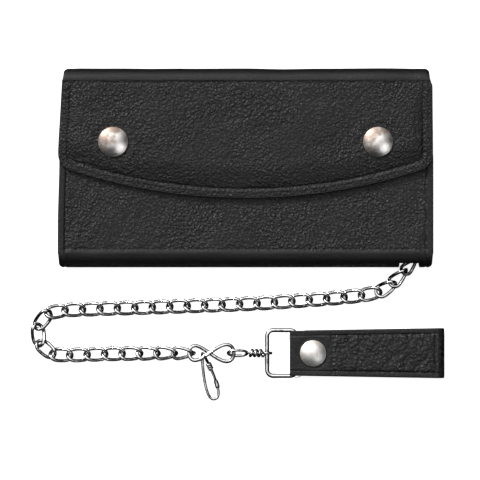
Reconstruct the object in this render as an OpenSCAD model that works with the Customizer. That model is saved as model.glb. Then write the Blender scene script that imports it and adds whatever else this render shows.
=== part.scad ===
// Long leather chain wallet with a flap, a curb chain and a belt strap.
// The wallet lies on its back: X runs along its length, Y up to the folded top edge, Z out of
// the front. The origin is the middle of the back face.

/* [Wallet] */
// Length of the wallet
wallet_w = 190.5; // [160:0.5:230]
// Height of the closed wallet
wallet_h = 100.8; // [90:0.2:120]
// Thickness of the outer leather
leather = 1.6; // [1.2:0.1:2.0]
// Thickness of the lining and gusset leather
lining = 0.8; // [0.5:0.1:1.0]
// Depth of each bill compartment
bill_gap = 4.2; // [4.2:0.1:6]
// Thickness of the card pockets
card_stack = 2.2; // [1.6:0.1:3]
// Number of card pockets on each side
card_count = 3; // [2:1:4]
// Width of one column of card pockets
card_w = 82; // [72:1:85]
// Step from one card pocket's edge to the next
card_step = 12; // [8:1:12]

/* [Flap] */
// Length of the flap from the top edge to its lowest point
flap_drop = 65.9; // [60:0.5:72]
// Width of the flap near its lower corners
flap_w = 190; // [150:0.5:229]
// Width of the flap at the top fold
flap_top_w = 187; // [150:0.5:229]
// Radius of the flap's curved lower edge
flap_arc_r = 288; // [260:1:340]
// Radius of the flap's lower corners
flap_corner_r = 9; // [6:0.5:12]
// Radius of the fold at the top edge
top_fold_r = 6; // [4:0.5:7]

/* [Snaps] */
// Distance between the two flap snaps
snap_spacing = 134; // [110:1:140]
// Distance from the wallet's top edge to the snaps
snap_drop = 37.2; // [30:0.2:42]
// Diameter of a flap snap's cap
cap_d = 15.2; // [14:0.1:17]
// Height of a cap's dome
cap_h = 2.6; // [2:0.1:3.4]
// Diameter of the strap snap's cap
strap_cap_d = 13.3; // [13:0.1:15]
// Gap between the leathers that a closed snap holds
snap_gap = 2.8; // [2.8:0.1:3.4]

/* [Chain] */
// Diameter of the chain's wire
chain_wire = 1.7; // [1.5:0.1:1.9]
// Length of a link outside
link_l = 12.9; // [12.6:0.1:13.4]
// Width of a link outside
link_w = 7.7; // [7.4:0.1:8.2]
// Play between two links along the chain
link_play = 0.6; // [0.5:0.05:0.7]

/* [Clip and ring] */
// Wire of the figure-eight link
eight_wire = 1.9; // [1.6:0.1:2]
// Wire of the key clip
clip_wire = 1.5; // [1.2:0.1:1.6]
// Length of the key clip
clip_l = 24; // [20:0.5:30]
// Wire of the swivel
swivel_wire = 1.4; // [1.2:0.1:1.6]
// Wire of the belt ring
ring_wire = 2.2; // [1.8:0.1:2.4]
// Length of the belt ring outside, across the strap
ring_h = 25.5; // [25:0.5:32]
// Width of the belt ring outside, along the strap
ring_w = 17; // [14:0.5:20]

/* [Belt strap] */
// Length of the closed strap
strap_l = 78.8; // [70:0.2:95]
// Width of the strap at the ring
strap_w = 22.9; // [20:0.1:25]
// Width of the strap at its fold
strap_end_w = 25.5; // [20:0.1:28]
// Clearance between a wire and what turns on it
turn_play = 0.2; // [0.15:0.05:0.3]

/* [Hidden] */
black = [0.13, 0.13, 0.14];
dark = [0.2, 0.19, 0.19];
nickel = [0.78, 0.76, 0.72];
steel = [0.72, 0.73, 0.75];
gap = 0.3;
skin = 0.05;
fine = 48;

half_w = wallet_w / 2;
half_h = wallet_h / 2;
card_z = leather + card_stack;
divider_z = card_z + bill_gap;
front_in_z = divider_z + lining + bill_gap;
front_z = front_in_z + leather;
fold_r = front_z / 2;
fold_y = fold_r - half_h;
lining_z = front_z + snap_gap;
flap_z = lining_z + lining;
flap_top_z = flap_z + leather;

// the two creases that the flap opens about
spine_axis = [half_h - 1.2, 1.2];
flap_axis = [half_h - top_fold_r, flap_top_z - leather / 2];
back_top_y = spine_axis[0] - 1.2 - gap;
front_top_y = flap_axis[0] - 1;
flap_end_y = flap_axis[0] - leather / 2 - gap;
flap_low_y = half_h - flap_drop;
flap_arc_y = flap_low_y + flap_arc_r;
snap_y = half_h - snap_drop;

// snap hardware
post_r = 1.7;
stud_r = 3.0;
socket_in_r = 3.5;
socket_out_r = 5.2;
flange_r = 6.0;
plate = 0.5;
stud_h = snap_gap - 2 * plate + 0.3;

// chain: the near end of each link hangs in the far end of the one before
link_a = (link_l - chain_wire) / 2;
link_b = (link_w - chain_wire) / 2;
link_gap = chain_wire + link_play;
link_z = 2.3;
// heading of each link in the XY plane, then its fall and its roll where they are not level
headings = [
    226, 226, 212, 192, 186, 185, 184, 184, 184, 183, 183,
    182, 182, 182, 182, 182, 182, 181, 182, 182, 182, 190,
    232, 276, 320, 358, 362, 362, 361, 361, 361, 360, 360
];
falls = [6, 11, 10, 3];
rolls = [-52, -36, -20, -6];
// roll and lift of the last links, which turn up to meet the figure-eight
end_rolls = [9, 18, 28, 38];
end_lifts = [0.1, 0.3, 0.6, 0.9];
link_count = len(headings);
anchor = [half_w - 8.7, fold_y - 3.4, front_z / 2 - 0.4];
anchor_r = 0.8;
anchor_slack = 2.4;
anchor_l = 15;
slot_w = link_w - 0.6;
slot_h = link_w + 3.4;

function fall(i) = i < len(falls) ? falls[i] : 0;
function from_end(i) = i - link_count + len(end_rolls);
function roll(i) = from_end(i) >= 0 ? end_rolls[from_end(i)] : i < len(rolls) ? rolls[i] : 0;
function lift(i) = from_end(i) >= 0 ? end_lifts[from_end(i)] : 0;
function along(h, f) = [cos(f) * cos(h), cos(f) * sin(h), -sin(f)];
function unit(v) = v / norm(v);
function way(i) = along(headings[i], fall(i));
function step(i) = link_a * (way(i) + way(i + 1)) - link_gap * unit(way(i) + way(i + 1));
function level(p, up) = [p[0], p[1], link_z + up];
first_link = anchor + (link_a - anchor_slack) * way(0);
raw_centres = [
    for (i = 0, c = first_link; i < link_count; c = i + 1 < link_count ? c + step(i) : c, i = i + 1) c
];
drop_count = len(falls);
centres = [
    for (i = [0:link_count - 1]) i < drop_count ? raw_centres[i] : level(raw_centres[i], lift(i))
];

// hardware at the end of the chain, along one line
line_y = centres[link_count - 1][1];
line_z = 2.9;
chain_end_x = centres[link_count - 1][0] + link_a;
eight_left = 10.4;
eight_right = 12.4;
eight_up = 4.3;
eight_x = chain_end_x - 2.6 + eight_left;
eight_end_x = eight_x + eight_right;
eye_l = 11.4;
eye_w = 5.6;
eye_x = eight_end_x - eight_wire / 2 - swivel_wire / 2 - 1.4;
eye_tilt = 64;
neck_l = 8.6;
bar_x = eye_x + eye_l + neck_l;
loop_r = ring_wire / 2 + turn_play + swivel_wire / 2;
ring_right_x = bar_x + ring_w - ring_wire;
ring_corner = 3;
wrap_out_r = ring_wire / 2 + turn_play + leather;
wrap_w = ring_h - ring_wire - 2 * ring_corner - 0.3;
strap_x = ring_right_x - wrap_out_r - 0.4;
strap_end_x = strap_x + strap_l;
return_z = 2 * leather;
strap_front_z = return_z + snap_gap;
strap_top_z = strap_front_z + leather;
strap_fold_r = strap_top_z / 2;
strap_fold_x = strap_end_x - strap_fold_r;
strap_snap_x = strap_x + 11.8;
return_end_x = strap_snap_x + 9;
wide_x = ring_right_x + ring_wire / 2 + 2.4;

function name_of(i) = str("link_", i < 9 ? "0" : "", i + 1);

// A round wire swept along a list of points; up is never along the wire.
module wire(path, r, sides = 8, up = [0, 0, 1]) {
    n = len(path);
    rings = [
        for (i = [0:n - 1])
            let (
                t = unit(path[(i + 1) % n] - path[(i + n - 1) % n]),
                s = unit(cross(t, up)),
                w = cross(s, t)
            )
            for (k = [0:sides - 1])
                path[i] + r * (cos(360 * k / sides) * s + sin(360 * k / sides) * w)
    ];
    faces = [
        for (i = [0:n - 1], k = [0:sides - 1])
            let (
                a = i * sides + k,
                b = i * sides + (k + 1) % sides,
                c = ((i + 1) % n) * sides + (k + 1) % sides,
                d = ((i + 1) % n) * sides + k
            )
            for (f = [[a, b, c], [a, c, d]]) f
    ];
    polyhedron(points = rings, faces = faces);
}

// A slab whose section in the YZ plane is the child's XY shape.
module along_x(x0, x1) {
    translate([x0, 0, 0]) rotate([90, 0, 90]) linear_extrude(x1 - x0) children();
}

// A slab whose section in the XZ plane is the child's XY shape.
module along_y(y0, y1) {
    translate([0, y1, 0]) rotate([90, 0, 0]) linear_extrude(y1 - y0) children();
}

module at_flap_snaps(z) {
    for (side = [-1, 1]) translate([side * snap_spacing / 2, snap_y, z]) children();
}

module back_panel() {
    color(black)
        translate([-half_w, fold_y, 0]) cube([wallet_w, back_top_y - fold_y, leather]);
}

module bottom_fold() {
    color(black) difference() {
        along_x(-half_w, half_w) translate([fold_y, fold_r]) difference() {
            circle(fold_r, $fn = fine);
            circle(fold_r - leather, $fn = fine);
            translate([0, -2 * fold_r]) square([2 * fold_r, 4 * fold_r]);
        }
        // the slot that the first link comes out through
        translate(first_link) rotate([0, 8, headings[0]])
            cube([link_l + 6, slot_w, slot_h], center = true);
    }
}

module front_panel() {
    color(black) difference() {
        translate([-half_w, fold_y, front_in_z])
            cube([wallet_w, front_top_y - fold_y, leather]);
        at_flap_snaps(front_in_z - 1) cylinder(r = post_r + skin, h = leather + 2, $fn = fine);
    }
}

// One side gusset: a strip folded inwards between the back and the front.
module gusset() {
    tab_in = half_w - 5;
    tip = half_w - 9.5;
    z0 = leather;
    z1 = front_in_z;
    mid = (z0 + z1) / 2;
    outer = half_w - 0.4;
    color(dark) along_y(fold_y, back_top_y - 4) polygon([
        [tab_in, z0], [outer, z0], [outer, z0 + lining], [tab_in + 1, z0 + lining],
        [tip + lining, mid], [tab_in + 1, z1 - lining], [outer, z1 - lining],
        [outer, z1], [tab_in, z1], [tip, mid]
    ]);
}

module gusset_left() {
    mirror([1, 0, 0]) gusset();
}

module gusset_right() {
    gusset();
}

// One column of stepped card pockets on the inside of the back.
module card_pockets() {
    leaf = (card_stack - 0.6) / card_count;
    low = fold_y + 2;
    top = back_top_y - 8;
    color(dark) translate([2, 0, 0]) {
        translate([0, low, leather]) cube([card_w, top - low, 0.6]);
        for (i = [0:card_count - 1])
            translate([0, low, leather + 0.6 + i * leaf])
                cube([card_w, top - (i + 1) * card_step - low, leaf]);
    }
}

module card_pockets_left() {
    mirror([1, 0, 0]) card_pockets();
}

module card_pockets_right() {
    card_pockets();
}

module bill_divider() {
    color(dark) translate([10 - half_w, fold_y + 2, divider_z])
        cube([wallet_w - 20, front_top_y - fold_y - 6, lining]);
}

// The stud half of a snap: flange, neck and knob, standing on the leather.
module stud() {
    color(nickel) rotate_extrude($fn = fine) polygon([
        [0, 0], [flange_r - 0.6, 0], [flange_r - 0.6, plate], [stud_r - 0.5, plate],
        [stud_r - 0.5, stud_h - 1], [stud_r, stud_h - 0.7], [stud_r, stud_h - 0.3],
        [stud_r - 0.4, stud_h], [0, stud_h]
    ]);
}

// The rivet that holds a stud: a shank through the leather and a flat head behind it.
module rivet(through) {
    color(nickel) {
        translate([0, 0, -through]) cylinder(r = post_r, h = through, $fn = fine);
        translate([0, 0, -through - plate]) cylinder(r = flange_r - 1.2, h = plate, $fn = fine);
    }
}

// The socket half of a snap, hanging under the flap: a plate and a spring ring.
module socket() {
    deep = snap_gap - 2 * plate - 0.1;
    color(nickel) rotate_extrude($fn = fine) polygon([
        [post_r + skin, 0], [flange_r, 0], [flange_r, -plate], [socket_out_r, -plate],
        [socket_out_r, -plate - deep + 0.5], [socket_out_r - 0.5, -plate - deep],
        [socket_in_r, -plate - deep], [socket_in_r, -plate], [post_r + skin, -plate]
    ]);
}

// A domed cap with the post that is set through the leather into the socket.
module cap(d, through) {
    rise = cap_h - 0.7;
    dome_r = (d * d / 4 + rise * rise) / (2 * rise);
    edge = asin(d / 2 / dome_r);
    color(nickel) rotate_extrude($fn = fine) polygon(concat(
        [[0, -through - plate], [post_r, -through - plate], [post_r, 0], [d / 2 - 0.5, 0],
            [d / 2, 0.35]],
        [for (k = [0:10]) let (f = edge * (1 - k / 10))
            [dome_r * sin(f), cap_h - dome_r + dome_r * cos(f)]]
    ));
}

module snap_studs() {
    at_flap_snaps(front_z) stud();
}

module snap_rivets() {
    at_flap_snaps(front_z) rivet(leather);
}

// The bar inside the fold that keeps the first link from pulling out.
module chain_anchor() {
    color(steel) translate(anchor - [anchor_l / 2, 0, 0])
        rotate([0, 90, 0]) cylinder(r = anchor_r, h = anchor_l, $fn = fine);
}

// The strip over the top edge, from the back crease to the flap crease.
module top_spine() {
    low_r = spine_axis[1];
    turn = [flap_axis[0], flap_top_z - top_fold_r];
    inner = top_fold_r - leather;
    color(black) along_x(-flap_top_w / 2, flap_top_w / 2) {
        difference() {
            translate([spine_axis[0], spine_axis[1]]) circle(low_r, $fn = fine);
            translate([spine_axis[0] - 9, spine_axis[1]]) square([9 - leather + low_r, 9]);
        }
        translate([half_h - leather, low_r]) square([leather, turn[1] - low_r]);
        intersection() {
            difference() {
                translate(turn) circle(top_fold_r, $fn = fine);
                translate(turn) circle(inner, $fn = fine);
            }
            translate(turn) square(top_fold_r + 1);
        }
        translate(flap_axis) circle(leather / 2, $fn = fine);
    }
}

// Outline of the flap: straight sides, round corners and a shallow curve between them.
function flap_outline(inset) =
    let (
        r = flap_arc_r - inset,
        c = flap_corner_r - inset,
        cx = flap_w / 2 - flap_corner_r,
        reach = flap_arc_r - flap_corner_r,
        cy = flap_arc_y - sqrt(reach * reach - cx * cx),
        lean = asin(cx / reach),
        top = flap_end_y,
        right = [for (k = [0:6]) let (f = -k * (90 - lean) / 6) [cx + c * cos(f), cy + c * sin(f)]],
        low = [for (k = [1:23]) let (f = lean * (1 - k / 12)) [r * sin(f), flap_arc_y - r * cos(f)]]
    )
    concat(
        [[flap_top_w / 2 - inset, top]], right, low,
        [for (k = [0:6]) [-right[6 - k][0], right[6 - k][1]]],
        [[inset - flap_top_w / 2, top]]
    );

module flap_sheet(inset, z, t) {
    difference() {
        translate([0, 0, z]) linear_extrude(t) polygon(flap_outline(inset));
        at_flap_snaps(z - 1) cylinder(r = post_r + skin, h = t + 2, $fn = fine);
    }
}

module flap_leather() {
    color(black) flap_sheet(0, flap_z, leather);
}

module flap_lining() {
    color(dark) flap_sheet(0.8, lining_z, lining);
}

module flap_snap_caps() {
    at_flap_snaps(flap_top_z) cap(cap_d, leather + lining);
}

module flap_snap_sockets() {
    at_flap_snaps(lining_z) socket();
}

// Centre line of a curb link: a stadium twisted a quarter turn from end to end.
function link_point(x, y) =
    let (turn = 45 * x / link_a) [x, y * cos(turn), y * sin(turn)];
function link_path() =
    let (
        s = link_a - link_b,
        bend = [for (k = [0:6]) k * 30 - 90],
        side = [-s / 2.5, s / 2.5]
    )
    concat(
        [for (f = bend) link_point(s + link_b * cos(f), link_b * sin(f))],
        [for (x = side) link_point(-x, link_b)],
        [for (f = bend) link_point(-s - link_b * cos(f), -link_b * sin(f))],
        [for (x = side) link_point(x, -link_b)]
    );

module chain_link(i) {
    color(steel) translate(centres[i]) rotate([roll(i), fall(i), headings[i]])
        wire(link_path(), chain_wire / 2);
}

// The figure-eight link; its wire crosses over itself with room between.
function eight_point(t) =
    let (reach = cos(t) > 0 ? eight_right : eight_left, up = cos(t) > 0 ? eight_up : eight_up - 0.6)
    [eight_x + reach * cos(t), line_y + up * sin(2 * t), line_z + 1.05 * sin(t)];

module figure_eight() {
    color(steel) wire([for (k = [0:35]) eight_point(k * 10)], eight_wire / 2);
}

// The key clip hangs on the figure-eight's lower left wire, one leg over it and one under.
hang_t = 108;
hang = eight_point(hang_t);
clip_heading = -75;
function clip_point(t) =
    let (
        u = (1 - cos(t)) / 2 * clip_l,
        side = sin(t),
        w = 3.1 * side * (0.42 + 0.58 * u / clip_l),
        fade = (cos(180 * min(u / 10, 1)) + 1) / 2,
        rise = fade * (hang[2] - 0.9 + 2.5 * max(-1, min(1, side / 0.5))),
        base = [hang[0] - 0.3, hang[1] + 2.0]
    )
    [
        base[0] + u * cos(clip_heading) - w * sin(clip_heading),
        base[1] + u * sin(clip_heading) + w * cos(clip_heading),
        clip_wire / 2 + 0.15 + rise
    ];

module key_clip() {
    color(steel) wire([for (k = [0:35]) clip_point(k * 10)], clip_wire / 2);
}

// The swivel's eye, which hangs in the figure-eight's right lobe.
module swivel_eye() {
    long = eye_l - swivel_wire;
    color(steel) translate([eye_x, line_y, line_z]) rotate([eye_tilt, 0, 0]) wire(
        [for (k = [0:23]) let (t = k * 15)
            [(1 - cos(t)) / 2 * long, eye_w / 2 * 0.87 * sin(t), 0]],
        swivel_wire / 2
    );
}

// The swivel's neck, wrapped three times, and its loop round the ring's bar.
module swivel_wrap() {
    start = eye_x + eye_l - swivel_wire / 2 + skin;
    turn_r = swivel_wire - 0.2;
    pitch = swivel_wire - 0.15;
    color(steel) {
        translate([start, line_y, line_z]) rotate([0, 90, 0]) {
            cylinder(d = swivel_wire, h = bar_x - loop_r - start, $fn = fine);
            translate([0, 0, swivel_wire / 2]) rotate_extrude($fn = fine) intersection() {
                union() {
                    translate([0, -0.3]) square([turn_r, 2 * pitch + 0.6]);
                    for (k = [0:2]) translate([turn_r, k * pitch])
                        circle(d = swivel_wire, $fn = 24);
                }
                translate([0, -swivel_wire]) square([4 * swivel_wire, 8 * swivel_wire]);
            }
        }
        translate([bar_x, line_y, line_z]) rotate([90, 0, 0]) rotate_extrude($fn = fine)
            translate([loop_r, 0]) circle(d = swivel_wire, $fn = 24);
    }
}

module belt_ring() {
    half = (ring_h - ring_wire) / 2;
    mid_x = (bar_x + ring_right_x) / 2;
    dx = (ring_right_x - bar_x) / 2 - ring_corner;
    dy = half - ring_corner;
    path = [
        for (corner = [[1, 1, 0], [-1, 1, 90], [-1, -1, 180], [1, -1, 270]])
            for (k = [0:4])
                let (f = corner[2] + k * 22.5)
                [
                    mid_x + corner[0] * dx + ring_corner * cos(f),
                    line_y + corner[1] * dy + ring_corner * sin(f),
                    line_z
                ]
    ];
    color(steel) wire(path, ring_wire / 2, 12);
}

// Plan of the strap between two places along it, wider at the fold than at the ring.
module strap_plan(x0, x1) {
    function half_at(x) = (strap_w + (strap_end_w - strap_w) * (x - strap_x) / strap_l) / 2;
    translate([0, line_y, -1]) linear_extrude(strap_top_z + 2) polygon([
        [x0, -half_at(x0)], [x1, -half_at(x1)], [x1, half_at(x1)], [x0, half_at(x0)]
    ]);
}

module strap_back() {
    turn = [ring_right_x, line_z];
    color(black) difference() {
        intersection() {
            along_y(line_y - strap_end_w, line_y + strap_end_w) difference() {
                union() {
                    translate(turn) circle(wrap_out_r, $fn = fine);
                    translate([ring_right_x, line_z - wrap_out_r])
                        square([strap_fold_x + 0.5 - ring_right_x, leather]);
                    polygon([
                        [ring_right_x, line_z - wrap_out_r], [ring_right_x, line_z + wrap_out_r],
                        [strap_snap_x - 6.6, return_z], [return_end_x, return_z],
                        [return_end_x, leather / 2], [ring_right_x + 4, leather / 2]
                    ]);
                    difference() {
                        translate([strap_fold_x, strap_fold_r]) circle(strap_fold_r, $fn = fine);
                        translate([strap_fold_x, strap_fold_r])
                            circle(strap_fold_r - leather, $fn = fine);
                        translate([strap_fold_x - 2 * strap_fold_r, -1])
                            square([2 * strap_fold_r, strap_top_z + 2]);
                    }
                }
                translate(turn) circle(ring_wire / 2 + turn_play, $fn = fine);
            }
            union() {
                translate([strap_x - 1, line_y - wrap_w / 2, -1])
                    cube([wide_x - strap_x + 2, wrap_w, strap_top_z + 2]);
                strap_plan(wide_x, strap_end_x + 1);
            }
        }
        translate([strap_snap_x, line_y, -1])
            cylinder(r = post_r + skin, h = return_z + 2, $fn = fine);
    }
}

module strap_snap_stud() {
    translate([strap_snap_x, line_y, return_z]) stud();
}

module strap_snap_rivet() {
    color(nickel) translate([strap_snap_x, line_y, 0.1])
        cylinder(r = post_r, h = return_z - 0.1, $fn = fine);
}

module strap_front() {
    color(black) difference() {
        intersection() {
            translate([strap_x, line_y - strap_end_w, strap_front_z])
                cube([strap_fold_x - gap - strap_x, 2 * strap_end_w, leather]);
            strap_plan(strap_x, strap_fold_x);
        }
        translate([strap_snap_x, line_y, strap_front_z - 1])
            cylinder(r = post_r + skin, h = leather + 2, $fn = fine);
    }
}

module strap_snap_cap() {
    translate([strap_snap_x, line_y, strap_top_z]) cap(strap_cap_d, leather);
}

module strap_snap_socket() {
    translate([strap_snap_x, line_y, strap_front_z]) socket();
}

back_panel();
bottom_fold();
front_panel();
gusset_left();
gusset_right();
card_pockets_left();
card_pockets_right();
bill_divider();
snap_studs();
snap_rivets();
chain_anchor();
top_spine();
flap_leather();
flap_lining();
flap_snap_caps();
flap_snap_sockets();
for (i = [0:link_count - 1]) chain_link(i);
figure_eight();
key_clip();
swivel_eye();
swivel_wrap();
belt_ring();
strap_back();
strap_snap_stud();
strap_snap_rivet();
strap_front();
strap_snap_cap();
strap_snap_socket();
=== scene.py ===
"""Looks of a black leather chain wallet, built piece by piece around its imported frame."""

import logging
from dataclasses import dataclass
from enum import Enum
from typing import Iterable, Optional, Sequence, Tuple

import bpy
import numpy as np
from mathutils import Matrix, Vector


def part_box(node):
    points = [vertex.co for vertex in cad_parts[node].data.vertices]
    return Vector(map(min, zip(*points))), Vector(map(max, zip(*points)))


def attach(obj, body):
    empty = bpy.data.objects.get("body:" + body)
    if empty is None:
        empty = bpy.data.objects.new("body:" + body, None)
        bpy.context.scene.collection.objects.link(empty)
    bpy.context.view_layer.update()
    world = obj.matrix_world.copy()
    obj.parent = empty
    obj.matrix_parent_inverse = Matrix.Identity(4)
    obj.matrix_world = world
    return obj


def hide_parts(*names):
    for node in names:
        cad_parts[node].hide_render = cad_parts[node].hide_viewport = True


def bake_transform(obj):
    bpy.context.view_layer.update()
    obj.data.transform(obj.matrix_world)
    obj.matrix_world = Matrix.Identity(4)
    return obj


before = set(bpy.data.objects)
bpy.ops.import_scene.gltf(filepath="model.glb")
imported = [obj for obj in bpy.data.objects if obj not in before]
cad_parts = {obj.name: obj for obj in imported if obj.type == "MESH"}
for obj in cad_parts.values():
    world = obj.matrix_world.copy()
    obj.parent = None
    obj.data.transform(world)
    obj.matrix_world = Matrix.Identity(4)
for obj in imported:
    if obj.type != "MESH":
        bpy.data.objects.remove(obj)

MM = 0.001
LOG = logging.getLogger("chain_wallet")
RIM = (0.0, 0.06, 0.2, 0.45)  # steps in from a cut edge that carry its rounding, in mm
ROUNDING = 0.46  # radius of a leather edge as a share of its thickness
PLY_TURN = 60.0  # edges of leather that turn by more stay sharp, in degrees
CLEAN_TURN = 80.0  # edges of wires and beads never stay sharp, in degrees
Grid = np.ndarray
Colour = Tuple[float, float, float]
Place = Tuple[float, float, float]


class Side(Enum):
    """The two ends of the wallet, seen from its front."""

    LEFT = -1
    RIGHT = 1


class Slot(Enum):
    """The record's material slots."""

    OUTER = "outer_leather"
    LINING = "lining_leather"
    SNAP = "snap_nickel"
    CHAIN = "chain_steel"


# ---------------------------------------------------------------- arithmetic on arrays


def smooth(x: Grid, low: float, high: float) -> Grid:
    """Rises from 0 at low to 1 at high along 3t^2 - 2t^3."""
    t = np.clip((np.asarray(x, float) - low) / (high - low), 0, 1)
    return t * t * (3 - 2 * t)


def bell(x: Grid, centre: float, width: float) -> Grid:
    """A bump of height 1 at centre, falling as the exponential of minus the square of the distance in widths."""
    return np.exp(-(((np.asarray(x, float) - centre) / width) ** 2))


def unit(v: Grid) -> Grid:
    """Vectors along the last axis brought to length 1."""
    return v / np.maximum(np.linalg.norm(v, axis=-1, keepdims=True), 1e-12)


def ripple(x: Grid, y: Grid, wave: float, seed: int, stretch: float = 1.0, turn: float = 0.0) -> Grid:
    """Smooth unevenness between about -1 and 1.

    A sum of twelve sine waves, each with its own direction, length near `wave` and phase.

    Args:
        x: first coordinate, in mm.
        y: second coordinate, in mm.
        wave: typical distance between crests, in mm.
        seed: picks the directions and phases.
        stretch: how much longer the crests are along the turned direction.
        turn: that direction, in degrees from x.

    Returns:
        The unevenness at each point.
    """
    rng = np.random.default_rng(seed)
    a = np.radians(turn)
    u = (x * np.cos(a) + y * np.sin(a)) / stretch
    v = -x * np.sin(a) + y * np.cos(a)
    total = np.zeros(np.broadcast(x, y).shape)
    for way, size, phase in zip(rng.uniform(0, np.pi, 12), rng.uniform(0.6, 1.8, 12), rng.uniform(0, 6.28, 12)):
        total = total + np.sin(2 * np.pi * (u * np.cos(way) + v * np.sin(way)) / (wave * size) + phase)
    return total / 4.5


def spaced(low: float, high: float, step: float, fine: float, margin: float, rim: bool = True) -> Grid:
    """Steps from low to high that are fine within margin of both ends.

    Args:
        low: first value.
        high: last value.
        step: step in the middle.
        fine: step near the ends.
        margin: how far the fine steps go.
        rim: adds three very short steps at each end for a rounded edge.

    Returns:
        The values in order.
    """
    near = np.arange(0, margin, fine)
    if rim:
        near = np.unique(np.concatenate([RIM, near[near > 0.6]]))
    count = max(2, int(round((high - low - 2 * margin) / step)))
    middle = np.linspace(low + margin, high - margin, count + 1)
    return np.concatenate([low + near, middle, (high - near)[::-1]])


def to_outline(points: Grid, outline: Grid) -> Tuple[Grid, Grid]:
    """Shortest distance from each point to an open line of straight runs, and where on the line that is.

    Each point is projected on each run, the projection is held between the run's ends, and the nearest counts.

    Args:
        points: (..., 2) array, in mm.
        outline: (n, 2) array, in mm.

    Returns:
        (...) arrays of distances and of lengths along the line, in mm.
    """
    flat = points.reshape(-1, 2)
    a, d = outline[:-1], np.diff(outline, axis=0)
    length = np.linalg.norm(d, axis=1)
    before = np.concatenate([[0], np.cumsum(length)[:-1]])
    best, run = np.zeros(len(flat)), np.zeros(len(flat))
    for i in range(0, len(flat), 4000):
        p = flat[i : i + 4000, None, :] - a[None]
        t = np.clip((p * d).sum(-1) / length**2, 0, 1)
        far = np.linalg.norm(p - t[..., None] * d, axis=-1)
        near = far.argmin(1)
        row = np.arange(len(near))
        best[i : i + 4000] = far[row, near]
        run[i : i + 4000] = (before + t * length)[row, near]
    return best.reshape(points.shape[:-1]), run.reshape(points.shape[:-1])


def lengths(line: Grid) -> Grid:
    """Length along a line of straight runs at each of its points."""
    return np.concatenate([[0], np.cumsum(np.linalg.norm(np.diff(line, axis=0), axis=1))])


def pick(line: Grid, run: Grid, at: Grid) -> Grid:
    """Points of a line at given values of a measure that rises along it, between its own points on a straight run."""
    return np.stack([np.interp(at, run, line[:, k]) for k in range(line.shape[1])], -1)


def along(line: Grid, count: int) -> Grid:
    """A line of straight runs resampled at count points an equal length apart."""
    run = lengths(line)
    return pick(line, run, np.linspace(0, run[-1], count))


def softened(line: Grid, rounds: int = 4) -> Grid:
    """A line whose corners are cut: each run keeps its points at a quarter and three quarters, several times."""
    for _ in range(rounds):
        quarter = 0.75 * line[:-1] + 0.25 * line[1:]
        three = 0.25 * line[:-1] + 0.75 * line[1:]
        line = np.concatenate([line[:1], np.stack([quarter, three], 1).reshape(-1, line.shape[1]), line[-1:]])
    return line


def box_mm(node: str) -> Tuple[Grid, Grid]:
    """Lowest and highest corner of a node of the frame, in mm."""
    low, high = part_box(node)
    return np.array(low) / MM, np.array(high) / MM


# ---------------------------------------------------------------- meshes


def grid_faces(rows: int, cols: int, wrap_rows: bool = False, wrap_cols: bool = False) -> Grid:
    """Quads of a grid whose vertex (i, j) has the number i * cols + j, closed round either way if asked."""
    i = np.arange(rows if wrap_rows else rows - 1)[:, None]
    j = np.arange(cols if wrap_cols else cols - 1)[None, :]
    i2, j2 = (i + 1) % rows, (j + 1) % cols
    quads = np.stack([i * cols + j, i2 * cols + j, i2 * cols + j2, i * cols + j2], -1)
    return quads.reshape(-1, 4)


def mesh_piece(name: str, points: Grid, faces: Iterable[Sequence[int]], sharp: float = 50.0,
               uv: Optional[Grid] = None, layers: Optional[dict] = None) -> bpy.types.Object:
    """Puts points in mm and faces into a smooth-shaded mesh object at the origin.

    Args:
        name: the piece's name.
        points: (n, 3) array, in mm in the row frame.
        faces: vertex numbers of each face, counter-clockwise from outside.
        sharp: edges that turn by more than this many degrees stay sharp.
        uv: (n, 2) array of surface coordinates, or None.
        layers: named number per vertex for the materials, or None.

    Returns:
        The object.
    """
    mesh = bpy.data.meshes.new(name)
    faces = faces.tolist() if isinstance(faces, np.ndarray) else faces
    mesh.from_pydata((points * MM).tolist(), [], faces)
    mesh.polygons.foreach_set("use_smooth", np.ones(len(mesh.polygons), bool))
    mesh.set_sharp_from_angle(angle=np.radians(sharp))
    if uv is not None:
        corner = np.zeros(len(mesh.loops), np.int32)
        mesh.loops.foreach_get("vertex_index", corner)
        mesh.uv_layers.new(name="surface").data.foreach_set("uv", uv[corner].astype(np.float32).ravel())
    for key, value in (layers or {}).items():
        made = mesh.attributes.new(key, "FLOAT", "POINT")
        made.data.foreach_set("value", np.asarray(value, np.float32).ravel())
    mesh.update()
    piece = bpy.data.objects.new(name, mesh)
    bpy.context.scene.collection.objects.link(piece)
    return piece


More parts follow.
